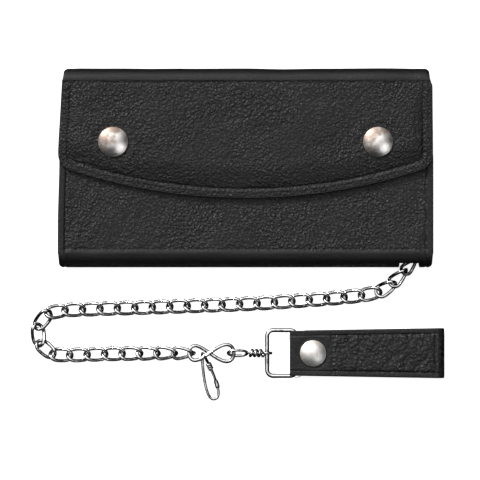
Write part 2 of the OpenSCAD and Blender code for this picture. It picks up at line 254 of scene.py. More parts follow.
def sweep(path: Grid, radius, sides: int = 12, closed: bool = True,
          up: Tuple[float, float, float] = (0, 0, 1)) -> Tuple[Grid, Grid, Grid]:
    """A round wire carried along a path.

    At each point of the path a circle of the given radius stands square to the path's direction, and
    neighbouring circles are joined. An open wire is closed by half-round ends that shrink as the square
    root of one minus the square of the share of the way to the tip.

    Args:
        path: (n, 3) array, in mm.
        radius: one radius, or one for each point, in mm.
        sides: points round the wire.
        closed: whether the path's ends meet.
        up: a direction that the path never follows.

    Returns:
        Points, quads, and each point's (share along, share round).
    """
    radius = np.broadcast_to(np.asarray(radius, float), (len(path),)).copy()
    if not closed:
        first, last = unit(path[0] - path[1]), unit(path[-1] - path[-2])
        share = np.array([0.999, 0.92, 0.72, 0.4])
        path = np.concatenate([path[0] + first * (share * radius[0])[:, None], path,
                               path[-1] + last * (share[::-1] * radius[-1])[:, None]])
        cap = np.sqrt(1 - share**2)
        radius = np.concatenate([cap * radius[0], radius, cap[::-1] * radius[-1]])
    ahead = np.roll(path, -1, 0) - np.roll(path, 1, 0)
    if not closed:
        ahead = np.gradient(path, axis=0)
    t = unit(ahead)
    s = unit(np.cross(t, np.asarray(up, float)))
    w = np.cross(s, t)
    a = np.linspace(0, 2 * np.pi, sides, endpoint=False)
    ring = np.cos(a)[None, :, None] * s[:, None] + np.sin(a)[None, :, None] * w[:, None]
    points = path[:, None] + radius[:, None, None] * ring
    quads = grid_faces(len(path), sides, closed, True)[:, ::-1]
    if not closed:
        ends = (np.arange(sides), np.arange(sides)[::-1] + (len(path) - 1) * sides)
        quads = quads.tolist() + [e.tolist() for e in ends]
    share = np.linspace(0, 1, len(path), endpoint=not closed)
    uv = np.stack(np.broadcast_arrays(share[:, None], (a / (2 * np.pi))[None]), -1)
    return points.reshape(-1, 3), quads, uv.reshape(-1, 2)


def facing_out(points: Grid, faces) -> list:
    """Faces of a closed mesh, turned over if the volume they enclose comes out negative."""
    faces = faces.tolist() if isinstance(faces, np.ndarray) else [list(f) for f in faces]
    tri = np.array([(f[0], f[k], f[k + 1]) for f in faces for k in range(1, len(f) - 1)])
    a, b, c = points[tri[:, 0]], points[tri[:, 1]], points[tri[:, 2]]
    return faces if (a * np.cross(b, c)).sum() > 0 else [f[::-1] for f in faces]


def wire_piece(name: str, path: Grid, radius, sides: int = 12, closed: bool = True,
               up: Tuple[float, float, float] = (0, 0, 1)) -> bpy.types.Object:
    """A wire as one piece, with its faces outwards. The arguments are those of sweep."""
    points, faces, uv = sweep(path, radius, sides, closed, up)
    return mesh_piece(name, points, facing_out(points, faces), CLEAN_TURN, uv)


def lathe(name: str, profile: Grid, centre: Sequence[float], sides: int = 72, sharp: float = 35) -> bpy.types.Object:
    """A turned piece: a closed outline of (radius, height) carried round the upright line through centre.

    Args:
        name: the piece's name.
        profile: (n, 2) array, in mm; points at radius 0 are pulled a hair off the line and closed by a face.
        centre: the line's foot, in mm.
        sides: steps round.
        sharp: edges that turn more stay sharp, in degrees.

    Returns:
        The object.
    """
    a = np.linspace(0, 2 * np.pi, sides, endpoint=False)
    r = np.maximum(profile[:, 0], 0.004)
    ring = np.stack(np.broadcast_arrays(
        r[:, None] * np.cos(a), r[:, None] * np.sin(a), profile[:, 1][:, None]), -1)
    points = ring.reshape(-1, 3) + np.asarray(centre, float)
    open_ends = profile[0, 0] <= 0 and profile[-1, 0] <= 0
    faces = grid_faces(len(profile), sides, not open_ends, True).tolist()
    if open_ends:
        faces += [np.arange(sides)[::-1].tolist(), (np.arange(sides) + (len(profile) - 1) * sides).tolist()]
    return mesh_piece(name, points, facing_out(points, faces), sharp)


def ply(name: str, outer: Grid, thick: float, edge: Grid, out: Tuple[float, float, float],
        relief=0.0, keep: Optional[Grid] = None, layers: Optional[dict] = None) -> bpy.types.Object:
    """A closed sheet of leather from a grid of points on its outer face.

    The inner face lies one thickness behind the outer one, square to it. Near a cut edge both faces turn
    in along a quarter circle: at distance d below r, each sinks by r - sqrt(r^2 - (r - d)^2). A strip
    joins the two faces along every open side of the grid and of any hole in it.

    Args:
        name: the piece's name.
        outer: (rows, cols, 3) array, in mm.
        thick: thickness, in mm.
        edge: (rows, cols) distance to the nearest cut edge, in mm.
        out: direction out of the sheet where the sheet faces that way most squarely.
        relief: height added to the outer face, in mm.
        keep: (rows - 1, cols - 1) array, False where the sheet has a hole, or None.
        layers: named (rows, cols) numbers for the material, or None.

    Returns:
        The object.
    """
    rows, cols = outer.shape[:2]
    n = unit(np.cross(np.gradient(outer, axis=0), np.gradient(outer, axis=1)))
    turned = ((n @ np.asarray(out, float)) ** 3).sum() < 0
    n = -n if turned else n
    r = ROUNDING * thick
    sink = r - np.sqrt(np.maximum(r * r - (r - np.minimum(edge, r)) ** 2, 0))
    fade = smooth(edge, 0, 0.8)
    front = outer + n * (np.asarray(relief) * fade - sink)[..., None]
    back = outer - n * (thick - sink)[..., None]
    quads = grid_faces(rows, cols)
    if keep is not None:
        quads = quads[keep.ravel()]
    quads = quads[:, ::-1] if turned else quads
    start, end = quads.ravel(), np.roll(quads, -1, 1).ravel()
    size = rows * cols
    open_edge = ~np.isin(start * size + end, end * size + start)
    a, b = start[open_edge], end[open_edge]
    rim = np.stack([b, a, a + size, b + size], -1)
    faces = np.concatenate([quads, quads[:, ::-1] + size, rim])
    points = np.concatenate([front.reshape(-1, 3), back.reshape(-1, 3)])
    used, faces = np.unique(faces, return_inverse=True)
    faces = faces.reshape(-1, 4)
    full = {k: np.concatenate([np.broadcast_to(v, edge.shape).ravel()] * 2)[used]
            for k, v in {"band": 0.0, **(layers or {})}.items()}
    full["edge"] = np.concatenate([edge.ravel()] * 2)[used]
    full["inside"] = np.repeat([0.0, 1.0], size)[used]
    return mesh_piece(name, points[used], faces, PLY_TURN, None, full)


def stitches(name: str, line: Grid, pitch: float = 2.9, length: float = 2.1,
             width: float = 0.34) -> bpy.types.Object:
    """A row of thread stitches along a line on a leather face that looks up.

    Every stitch is the same small closed bead, longer than wide, which arches over the surface: its
    height falls from the middle as the square of the share of the way to its ends.

    Args:
        name: the piece's name.
        line: (n, 3) array of points on the face, in mm.
        pitch: distance from stitch to stitch, in mm.
        length: length of one stitch, in mm.
        width: thread thickness, in mm.

    Returns:
        The object.
    """
    run = lengths(line)
    at = np.arange(pitch / 2, run[-1] - pitch / 4, pitch)
    centre = pick(line, run, at)
    ahead = unit(pick(line, run, at + 0.5) - pick(line, run, at - 0.5))
    out = np.broadcast_to([0.0, 0.0, 1.0], centre.shape)
    side = np.cross(out, ahead)
    x = np.linspace(-1, 1, 7)
    a = np.linspace(0, 2 * np.pi, 6, endpoint=False)
    fat = width / 2 * np.sqrt(np.maximum(1 - (x * 0.985) ** 6, 0.02))
    bead = np.stack(np.broadcast_arrays(
        (x * length / 2)[:, None], fat[:, None] * np.cos(a), (0.16 * (1 - x**2) - 0.06)[:, None]
        + fat[:, None] * np.sin(a)), -1).reshape(-1, 3)
    points = (centre[:, None] + bead[None, :, 0:1] * ahead[:, None] + bead[None, :, 1:2] * side[:, None]
              + bead[None, :, 2:3] * out[:, None])
    one = grid_faces(7, 6, False, True)[:, ::-1].tolist() + [list(range(6)), list(range(41, 35, -1))]
    one = facing_out(bead, one)
    quads = np.array([f for f in one if len(f) == 4])
    ends = np.array([f for f in one if len(f) == 6])
    shift = (np.arange(len(at)) * 42)[:, None, None]
    faces = (quads[None] + shift).reshape(-1, 4).tolist() + (ends[None] + shift).reshape(-1, 6).tolist()
    return mesh_piece(name, points.reshape(-1, 3), faces, CLEAN_TURN)


# ---------------------------------------------------------------- finishes


class Tree:
    """A material's nodes, written as short calls."""

    def __init__(self, name: str) -> None:
        """Starts an empty material of that name with a shader and an output."""
        self.material = bpy.data.materials.new(name)
        self.material.use_nodes = True
        self.nodes = self.material.node_tree.nodes
        self.links = self.material.node_tree.links
        self.shader = self.nodes["Principled BSDF"]
        self.place = self.add("ShaderNodeTexCoord").outputs["Object"]

    def add(self, kind: str, inputs: Optional[dict] = None, **settings) -> bpy.types.Node:
        """Adds a node; inputs are numbers or the outputs of other nodes, by name or number."""
        node = self.nodes.new(kind)
        for key, value in settings.items():
            setattr(node, key, value)
        for key, value in (inputs or {}).items():
            if isinstance(value, bpy.types.NodeSocket):
                self.links.new(value, node.inputs[key])
            else:
                node.inputs[key].default_value = value
        return node

    def sum(self, kind: str, a, b, clamp: bool = False) -> bpy.types.NodeSocket:
        """Arithmetic on two numbers or outputs: ADD, MULTIPLY, SUBTRACT, MAXIMUM, POWER."""
        return self.add("ShaderNodeMath", {0: a, 1: b}, operation=kind, use_clamp=clamp).outputs[0]

    def ramp(self, value, low: float, high: float, to_low: float = 0.0, to_high: float = 1.0) -> bpy.types.NodeSocket:
        """Maps low..high to to_low..to_high along a smooth step."""
        made = self.add("ShaderNodeMapRange", {"Value": value, "From Min": low, "From Max": high,
                                               "To Min": to_low, "To Max": to_high}, interpolation_type="SMOOTHSTEP")
        return made.outputs["Result"]

    def noise(self, size: float, detail: float = 2.0, place=None) -> bpy.types.NodeSocket:
        """Cloudy pattern whose patches are about size mm across."""
        made = self.add("ShaderNodeTexNoise", {"Vector": place or self.place, "Scale": 1 / (size * MM),
                                               "Detail": detail})
        return made.outputs["Fac"]

    def stretched(self, scale: Tuple[float, float, float], turn: float = 0.0) -> bpy.types.NodeSocket:
        """The place on the object, scaled along each side after a turn about the upright, in degrees."""
        made = self.add("ShaderNodeMapping", {"Vector": self.place, "Scale": scale,
                                              "Rotation": (0, 0, np.radians(turn))})
        return made.outputs["Vector"]

    def mix(self, share, a: Colour, b: Colour) -> bpy.types.NodeSocket:
        """A colour between a and b, each a colour or an output."""
        node = self.add("ShaderNodeMix", {"Factor": share}, data_type="RGBA")
        for socket, value in zip([s for s in node.inputs if s.type == "RGBA"], (a, b)):
            if isinstance(value, bpy.types.NodeSocket):
                self.links.new(value, socket)
            else:
                socket.default_value = (*value, 1)
        return [s for s in node.outputs if s.type == "RGBA"][0]

    def attribute(self, name: str) -> bpy.types.NodeSocket:
        """A number that the piece's mesh holds for each point."""
        return self.add("ShaderNodeAttribute", attribute_name=name).outputs["Fac"]

    def finish(self, **sockets) -> bpy.types.Material:
        """Sets the shader's sockets, whose names have spaces for underscores, and returns the material."""
        for key, value in sockets.items():
            socket = self.shader.inputs[key.replace("_", " ")]
            if isinstance(value, bpy.types.NodeSocket):
                self.links.new(value, socket)
            else:
                socket.default_value = value
        return self.material


@dataclass(frozen=True)
class LeatherFinish:
    """Dyed leather with a pebble grain that flattens on folds and burnished edges, and painted highlights on a few
    pebble tips.
    """

    name: str
    deep: Colour = (0.0028, 0.0028, 0.0032)
    # top: the lighter colour, painted on a few pebble tips as highlights
    top: Colour = (0.085, 0.083, 0.08)
    pebble: float = 1.35
    depth: float = 0.5
    matt: float = 0.5
    gloss: float = 0.31
    shine: float = 0.46

    def make(self) -> bpy.types.Material:
        """Pebbles are soft cells round scattered points, slightly bent, with finer cells and pores on them.

        The height is minus the distance to the nearest point, so each cell is a dome. It flattens by the band and
        near a cut edge. A few pebble tips, picked by a fine cloudy pattern, get the lighter colour as painted
        highlights.
        """
        t = Tree(self.name)
        bend = t.add("ShaderNodeTexNoise", {"Vector": t.place, "Scale": 1 / (4.2 * MM), "Detail": 1.0})
        bent = t.add("ShaderNodeVectorMath", {0: bend.outputs["Color"], 1: (0.6 * MM,) * 3, 2: t.place},
                     operation="MULTIPLY_ADD").outputs[0]
        cells = [t.add("ShaderNodeTexVoronoi", {"Vector": bent, "Scale": 1 / (size * MM), "Smoothness": soft},
                       feature="SMOOTH_F1").outputs["Distance"]
                 for size, soft in ((self.pebble, 0.25), (self.pebble * 0.52, 0.2))]
        flat = t.ramp(t.sum("MAXIMUM", t.attribute("band"), t.ramp(t.attribute("edge"), 0.9, 0.1)), 0, 1, 1.0, 0.2)
        patch = t.ramp(t.noise(21, 1), 0.35, 0.7, 0.65, 1.0)
        strength = t.sum("MULTIPLY", flat, patch)
        dome = t.sum("ADD", t.sum("MULTIPLY", cells[0], -1.0), t.sum("MULTIPLY", cells[1], -0.45))
        pores = t.sum("MULTIPLY", t.noise(0.28, 2), 0.22)
        height = t.sum("ADD", t.sum("MULTIPLY", dome, strength), pores)
        crown = t.ramp(cells[0], 0.62, 0.12)
        # painted highlights: a few pebble tips, fewer where the grain lies flat, take the lighter top colour
        dots = t.sum("MULTIPLY", t.ramp(cells[0], 0.4, 0.12), t.ramp(t.noise(1.1, 2), 0.42, 0.62))
        painted_tip_highlight = t.sum("MULTIPLY", t.sum("MULTIPLY", dots, flat), t.ramp(t.noise(30, 2), 0.3, 0.72, 0.3, 1.0))
        colour = t.mix(painted_tip_highlight, self.deep, self.top)
        rough = t.ramp(t.sum("ADD", crown, t.sum("MULTIPLY", t.noise(6, 2), 0.5)), 0.2, 1.3, self.matt, self.gloss)
        rough = t.sum("ADD", rough, t.sum("MULTIPLY", t.attribute("inside"), 0.25), True)
        bump = t.add("ShaderNodeBump", {"Strength": 1.0, "Distance": self.depth * MM, "Height": height})
        return t.finish(Base_Color=colour, Roughness=rough, Normal=bump.outputs[0], Specular_IOR_Level=self.shine)


@dataclass(frozen=True)
class MetalFinish:
    """Plated metal with cloudy tarnish, painted shade on one side, a brushed grain and fine scratches."""

    name: str
    bright: Colour
    tarnish_and_shade: Colour
    rough: float
    worn: float
    patch: float = 4.0
    amount: float = 0.5
    scratch: float = 0.004
    # lean: how much painted shade darkens the slopes that face the upper left; below 0 it darkens the slopes that
    # face away
    lean: float = 0.0

    def make(self) -> bpy.types.Material:
        """Tarnish gathers in cloudy patches, and painted shade darkens one side's slopes if it leans.

        The lean is the normal's dot product with a direction to the upper left, times `lean`, added to the patches as
        painted shade.
        Scratches are the same cloudy pattern drawn out long in two directions.
        """
        t = Tree(self.name)
        normal = t.add("ShaderNodeNewGeometry").outputs["Normal"]
        painted_shade_facing = t.add("ShaderNodeVectorMath", {0: normal, 1: (-0.62, 0.58, 0.0)},
                      operation="DOT_PRODUCT").outputs["Value"]
        # cloudy tarnish patches plus painted shade on one side's slopes, set by lean
        patch = t.ramp(t.sum("ADD", t.noise(self.patch, 3), t.sum("MULTIPLY", painted_shade_facing, self.lean)), 0.38, 0.72)
        lines = [t.noise(0.5, 2, t.stretched(scale, turn))
                 for scale, turn in (((0.06, 1, 1), 28), ((1, 0.09, 1), -14))]
        scratched = t.sum("MAXIMUM", t.ramp(lines[0], 0.52, 0.66), t.ramp(lines[1], 0.56, 0.7))
        colour = t.mix(t.sum("MULTIPLY", patch, self.amount), self.bright, self.tarnish_and_shade)
        rough = t.sum("ADD", t.ramp(patch, 0, 1, self.rough, self.worn), t.sum("MULTIPLY", scratched, 0.08))
        height = t.sum("ADD", t.sum("MULTIPLY", scratched, -0.6), t.noise(1.4, 2))
        bump = t.add("ShaderNodeBump", {"Strength": 0.7, "Distance": self.scratch * MM, "Height": height})
        return t.finish(Base_Color=colour, Roughness=rough, Normal=bump.outputs[0], Metallic=1.0)


@dataclass(frozen=True)
class ThreadFinish:
    """Waxed black thread with a fine twist."""

    name: str
    dark: Colour = (0.006, 0.006, 0.007)
    light: Colour = (0.03, 0.03, 0.032)

    def make(self) -> bpy.types.Material:
        """Twist is a cloudy pattern finer than the thread."""
        t = Tree(self.name)
        twist = t.noise(0.22, 2, t.stretched((1, 2.4, 1), 35))
        bump = t.add("ShaderNodeBump", {"Strength": 0.8, "Distance": 0.05 * MM, "Height": twist})
        return t.finish(Base_Color=t.mix(twist, self.dark, self.light), Roughness=t.ramp(twist, 0.3, 0.7, 0.6, 0.42),
                        Normal=bump.outputs[0])


@dataclass(frozen=True)
class FloorFinish:
    """Plain pale studio floor, lit from below for the camera."""

    name: str = "studio_floor"
    pale: Colour = (0.9, 0.9, 0.9)
    dark: Colour = (0.015, 0.015, 0.016)
    glow: float = 0.8

    def make(self) -> bpy.types.Material:
        """A lit table: an even matt surface that glows to the camera and looks dark in what stands on it."""
        t = Tree(self.name)
        rays = t.add("ShaderNodeLightPath").outputs
        colour = t.mix(rays["Is Glossy Ray"], self.pale, self.dark)
        return t.finish(Base_Color=colour, Roughness=0.9, Emission_Color=(1, 1, 1, 1),
                        Emission_Strength=t.sum("MULTIPLY", rays["Is Camera Ray"], self.glow))


class Workshop:
    """The finishes, made once, and the ways that a piece is dressed and joined to the frame."""

    def __init__(self) -> None:
        """Makes every finish."""
        self.outer = LeatherFinish("black_pebbled_leather").make()
        self.strap = LeatherFinish("black_strap_leather", pebble=1.9, depth=0.7).make()
        self.lining = LeatherFinish("black_lining_leather", deep=(0.008, 0.008, 0.009), top=(0.018, 0.018, 0.019),
                                    pebble=0.8, depth=0.05, matt=0.66, gloss=0.5, shine=0.3).make()
        # for nickel, steel and pearl the second colour serves as tarnish and painted shade, and the last number is
        # the lean of that painted shade
        self.nickel = MetalFinish("warm_nickel_snap", (0.98, 0.95, 0.91), (0.3, 0.2, 0.15), 0.3, 0.42,
                                  4.0, 0.85, 0.02, 0.9).make()
        self.hidden = MetalFinish("plain_nickel_snap", (0.72, 0.7, 0.66), (0.42, 0.38, 0.33), 0.24, 0.4,
                                  3.0, 0.5, 0.006).make()
        self.steel = MetalFinish("bright_steel_wire", (0.92, 0.925, 0.94), (0.05, 0.05, 0.055), 0.08, 0.22,
                                 2.6, 0.9, 0.004, -0.6).make()
        self.pearl = MetalFinish("pale_strap_snap", (0.99, 0.98, 0.96), (0.62, 0.52, 0.4), 0.42, 0.5,
                                 3.0, 0.5, 0.02, 0.35).make()
        self.thread = ThreadFinish("waxed_black_thread").make()
        self.floor = FloorFinish().make()

    def dress(self, piece: bpy.types.Object, finish: bpy.types.Material,
              slot: Optional[Slot] = None) -> bpy.types.Object:
        """Gives a piece its finish."""
        piece.data.materials.clear()
        piece.data.materials.append(finish)
        return piece

    def bend(self, piece: bpy.types.Object, finish: bpy.types.Material, bodies: Tuple[str, str],
             start: Place, end: Place, *nodes: str) -> None:
        """Dresses a leather piece, bakes its place into its mesh and lets it stand for the frame's nodes.

        Args:
            piece: the piece.
            finish: its finish.
            bodies: not used.
            start: not used.
            end: not used.
            nodes: nodes of the frame it stands for.
        """
        self.dress(piece, finish, Slot.OUTER)
        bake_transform(piece)
        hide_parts(*nodes)
        LOG.info("%s: %d faces", piece.name, len(piece.data.polygons))

    def fit(self, piece: bpy.types.Object, finish: bpy.types.Material, slot: Slot, body: str,
            *nodes: str) -> bpy.types.Object:
        """Dresses a piece, rides it on a body and lets it stand for the frame's nodes."""
        self.dress(piece, finish, slot)
        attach(piece, body)
        if nodes:
            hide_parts(*nodes)
        LOG.info("%s: %d faces on %s", piece.name, len(piece.data.polygons), body)
        return piece


# ---------------------------------------------------------------- wallet


@dataclass
class Cover:
    """The outer leather: back, spine and top fold, flap, bottom fold and front, read from the frame, in mm."""

    shop: Workshop
    thick: float = 1.6
    fold_r: float = 6.0
    roll_r: float = 1.2
    seam_z: float = 7.0
    corner: float = 3.0
    margin: float = 4.8
    stitch_in: float = 2.3
    droop: float = 2.25
    snap: Tuple[float, float] = (67.0, 13.2)
    flap_r: float = 288.0
    flap_corner: float = 9.0
    slot_x: Tuple[float, float] = (78.2, 88.1)
    slot_z: Tuple[float, float] = (1.0, 12.1)

    def __post_init__(self) -> None:
        """Reads the sizes that the frame gives."""
        low, high = box_mm("back_panel")
        self.half_w, self.fold_y = high[0], low[1]
        self.front_z = box_mm("front_panel")[1][2]
        self.front_top = box_mm("front_panel")[1][1]
        self.top_y = box_mm("top_spine")[1][1]
        flap_low, flap_high = box_mm("flap_leather")
        self.flap_z, self.flap_low, self.flap_w = flap_high[2], flap_low[1], flap_high[0]
        self.hinge_y = self.top_y - self.fold_r
        self.fold_mid = self.front_z / 2

    def rounded_plan(self, x: Grid, half: Grid, r: float) -> Grid:
        """How far a fold draws back at its ends: r - sqrt(r^2 - (r - d)^2) at distance d below r from the end."""
        d = np.clip(half - np.abs(x), 0, r)
        return r - np.sqrt(np.maximum(r * r - (r - d) ** 2, 0))

    def over_the_top(self, x: Grid, run: Grid, half: Grid) -> Grid:
        """The outer face from the flap over the top fold and down the spine to the back.

        The run is measured from where the flap meets the fold: below 0 the face is flat on the front, then it
        follows a quarter circle, a straight spine, a small quarter circle, and is flat on the back.

        Args:
            x: distance along the fold.
            run: distance across it.
            half: half width of the leather there.

        Returns:
            Points of the face.
        """
        r, q = self.roll_r, self.roll_r * np.pi / 2
        arc = self.fold_r * np.pi / 2
        mid_z = self.flap_z - self.fold_r
        spine = mid_z - r
        a, b = np.clip(run / self.fold_r, 0, np.pi / 2), np.clip((run - arc - spine) / r, 0, np.pi / 2)
        cuts = [run < 0, run < arc, run < arc + spine, run < arc + spine + q]
        y = np.select(cuts, [self.hinge_y + run, self.hinge_y + self.fold_r * np.sin(a), self.top_y + 0 * run,
                             self.top_y - r + r * np.cos(b)], self.top_y - r - (run - arc - spine - q))
        z = np.select(cuts, [self.flap_z + 0 * run, mid_z + self.fold_r * np.cos(a), mid_z - (run - arc),
                             r - r * np.sin(b)], 0.0)
        y = y - self.rounded_plan(x, half, self.corner) * np.clip((y - self.hinge_y) / self.fold_r, 0, 1)
        return np.stack(np.broadcast_arrays(x, y, z), -1)

    def round_the_bottom(self, x: Grid, run: Grid) -> Grid:
        """The outer face from the front's top edge down, round the bottom fold's half circle, to the back."""
        flat = self.front_top - self.fold_y
        a = np.clip((run - flat) / self.fold_mid, 0, np.pi)
        y = np.where(run < flat, self.front_top - run, self.fold_y - self.fold_mid * np.sin(a))
        z = np.where(run < flat, self.front_z, self.fold_mid + self.fold_mid * np.cos(a))
        draw = self.rounded_plan(x, self.half_w + 0 * x, self.corner)
        y = y + draw * np.clip((self.fold_y - y) / self.fold_mid, 0, 1)
        return np.stack(np.broadcast_arrays(x, y, z), -1)

    def side_of_flap(self, y: Grid, side: Side) -> Grid:
        """Half width of the flap and top fold at a height y of the unrolled leather."""
        if side is Side.LEFT:
            return self.flap_w - 2.4 * np.clip((y - 9) / 40, 0, 1)
        return self.flap_w - 0.4 * np.clip((y - 9) / 33, 0, 1) - 1.0 * smooth(y, 41.5, 44.5)

    def drawn_in(self, x: Grid, y: Grid) -> Grid:
        """How much narrower the front and the back are at a height, so that the flap covers their sides."""
        left = 2.4 * np.clip((y - 9) / 40, 0, 1) + 0.8 * smooth(y, -32, 6)
        right = 0.4 * np.clip((y - 9) / 33, 0, 1) + smooth(y, 38, 44)
        return np.where(x < 0, left, right) + 0.35 * smooth(y, 4, 12)

    def flap_sides(self, top: float, inset: float = 0.0) -> Tuple[Grid, Grid, Grid]:
        """The flap's left edge, lower edge and right edge, met in the middle of its two rounded corners.

        Each corner is a quarter-like arc of radius flap_corner that touches the side and the lower edge, and the
        lower edge is an arc of radius flap_r about a point above the wallet.

        Args:
            top: unrolled height where the sides end.
            inset: how far inside the cut edge the lines run.

        Returns:
            Left edge upwards, lower edge left to right, right edge upwards, as (n, 2) arrays.
        """
        c = self.flap_corner
        cx, reach = self.flap_w - c, self.flap_r - c
        mid_y = self.flap_low + self.flap_r
        cy = mid_y - np.sqrt(reach**2 - cx**2)
        lean = np.arcsin(cx / reach)
        a = -np.linspace(0.5, 1, 14) * (np.pi / 2 - lean)
        corner = np.stack([cx + (c - inset) * np.cos(a), cy + (c - inset) * np.sin(a)], -1)
        f = np.linspace(lean, -lean, 181)[1:-1]
        r = self.flap_r - inset
        low = np.stack([r * np.sin(f), mid_y - r * np.cos(f)], -1)
        lower = np.concatenate([corner, low, (corner * (-1, 1))[::-1]])[::-1]
        b = -np.linspace(0.5, 0, 12) * (np.pi / 2 - lean)
        up = np.linspace(cy + 0.5, top, 90)
        turn = np.stack([cx + (c - inset) * np.cos(b), cy + (c - inset) * np.sin(b)], -1)
        right = np.concatenate([turn, np.stack([self.side_of_flap(up, Side.RIGHT) - inset, up], -1)])
        left = np.concatenate([turn, np.stack([self.side_of_flap(up, Side.LEFT) - inset, up], -1)]) * (-1, 1)
        return left, lower, right

    def flap_grid(self, top: float, inset: float, step: float) -> Tuple[Grid, Grid]:
        """A grid over the unrolled flap whose lines follow its edges.

        Opposite edges are blended across the flap and the sum's corners are taken away once, which is the
        usual four-sided patch.

        Args:
            top: unrolled height where the grid ends.
            inset: how far inside the cut edge it starts.
            step: step away from the edges, in mm.

        Returns:
            (rows, cols, 2) points and the outline as one line from the upper left round to the upper right.
        """
        left, lower, right = self.flap_sides(top, inset)
        s = spaced(0, 190, step, 0.4, 6.8) / 190
        tall = top - self.flap_low
        v = spaced(0, tall, step, 0.4, 6.8)
        v = np.unique(np.round(np.concatenate([v, np.arange(59, min(tall, 70), 0.45)]), 2)) / tall
        even = np.linspace(0, 1, 1500)
        l, b, r = (pick(along(line, 1500), even, share) for line, share in ((left, v), (lower, s), (right, v)))
        s3, v3 = s[:, None, None], v[None, :, None]
        t = (1 - s3) * l[-1] + s3 * r[-1]
        grid = ((1 - v3) * b[:, None] + v3 * t + (1 - s3) * l[None] + s3 * r[None]
                - (1 - s3) * (1 - v3) * l[0] - s3 * (1 - v3) * r[0] - (1 - s3) * v3 * l[-1] - s3 * v3 * r[-1])
        return grid, np.concatenate([left[::-1], lower[1:-1], right])

    def hang(self, x: Grid, y: Grid) -> Grid:
        """How far the closed flap sinks towards the front: most at its lower edge, a little at its sides."""
        low = self.flap_low + self.flap_r - np.sqrt(self.flap_r**2 - np.clip(x, -95, 95) ** 2)
        down = 1 - smooth(y - low, 0.5, 17)
        beside = (1 - smooth(self.flap_w - np.abs(x), 0.5, 11)) * (1 - smooth(y, 22, 42))
        return self.droop * (1 - (1 - down) * (1 - 0.55 * beside))

    def near_snap(self, x: Grid, y: Grid) -> Grid:
        """Distance to the nearer of the flap's two snaps."""
        return np.hypot(np.abs(x) - self.snap[0], y - self.snap[1])

    def flap(self) -> None:
        """The flap with the top fold and the upper spine as one bending ply, its stitches and its lining."""
        seam = self.hinge_y + self.fold_r * np.pi / 2 + (self.flap_z - self.fold_r - self.seam_z)
        grid, outline = self.flap_grid(seam, 0.0, 1.15)
        x, y = grid[..., 0], grid[..., 1]
        half = np.where(x < 0, self.side_of_flap(y, Side.LEFT), self.side_of_flap(y, Side.RIGHT))
        face = self.over_the_top(x, y - self.hinge_y, half)
        face[..., 2] -= self.hang(x, y) * (y < self.hinge_y)
        edge, run = to_outline(grid, outline)
        on_flap = 1 - smooth(y, 39, 43.5)
        from_snap = self.near_snap(x, y)
        calm = smooth(from_snap, 8.5, 15)
        rolled = np.clip(1 - ((edge - 2.2) / 2.2) ** 2, 0, 1)
        relief = on_flap * (0.2 * rolled - 0.42 * bell(edge, self.margin, 0.55)
                            - 0.16 * bell(edge, self.margin + 0.7, 1.5)
                            - 0.13 * bell(edge, self.stitch_in, 0.45)
                            + 0.07 * np.cos(2 * np.pi * run / 2.9) * bell(edge, self.stitch_in + 0.2, 1.0))
        relief += calm * (0.2 * ripple(x, y, 38, 3) + 0.07 * ripple(x, y, 13, 5, 2.2, 35)) * smooth(edge, 4, 9)
        relief -= 0.3 * bell(from_snap, 8.4, 1.3) * (y < 40) + 0.16 * bell(y, 43.4, 0.8) + 0.05 * bell(y, 45.5, 0.5)
        band = smooth(y, 43.2, 44.6)
        piece = ply("flap_and_top_fold", face, self.thick, edge, (0, 0, 1), relief, None, {"band": band})
        self.shop.bend(piece, self.shop.outer, ("spine", "flap"), (0, self.top_y + 0.2, self.flap_z - 7.2),
                       (0, self.hinge_y - 1.4, self.flap_z + 0.6), "flap_leather", "top_spine")
        self.flap_stitches()
        self.flap_lining()

    def flap_stitches(self) -> None:
        """Thread along the flap's turned margin."""
        left, lower, right = self.flap_sides(41.0, self.stitch_in)
        line = np.concatenate([left[::-1], lower[1:-1], right])
        line = along(line, 900)
        z = self.flap_z - self.hang(line[:, 0], line[:, 1]) + 0.1
        path = np.stack([line[:, 0], line[:, 1], z], -1)
        piece = stitches("flap_stitches", path)
        self.shop.fit(piece, self.shop.thread, Slot.OUTER, "flap")

    def flap_lining(self) -> None:
        """The thinner leather glued inside the flap, a little smaller than it."""
        grid, outline = self.flap_grid(self.hinge_y - 1.2, 1.3, 2.2)
        x, y = grid[..., 0], grid[..., 1]
        z = self.flap_z - self.thick + 0.05 - self.hang(x, y)
        edge, _ = to_outline(grid, outline)
        edge = np.minimum(edge, self.hinge_y - 1.2 - y)
        face = np.stack([x, y, z], -1)
        piece = ply("flap_lining_leather", face, 0.82, edge, (0, 0, 1), 0.0)
        self.shop.fit(piece, self.shop.lining, Slot.LINING, "flap", "flap_lining")

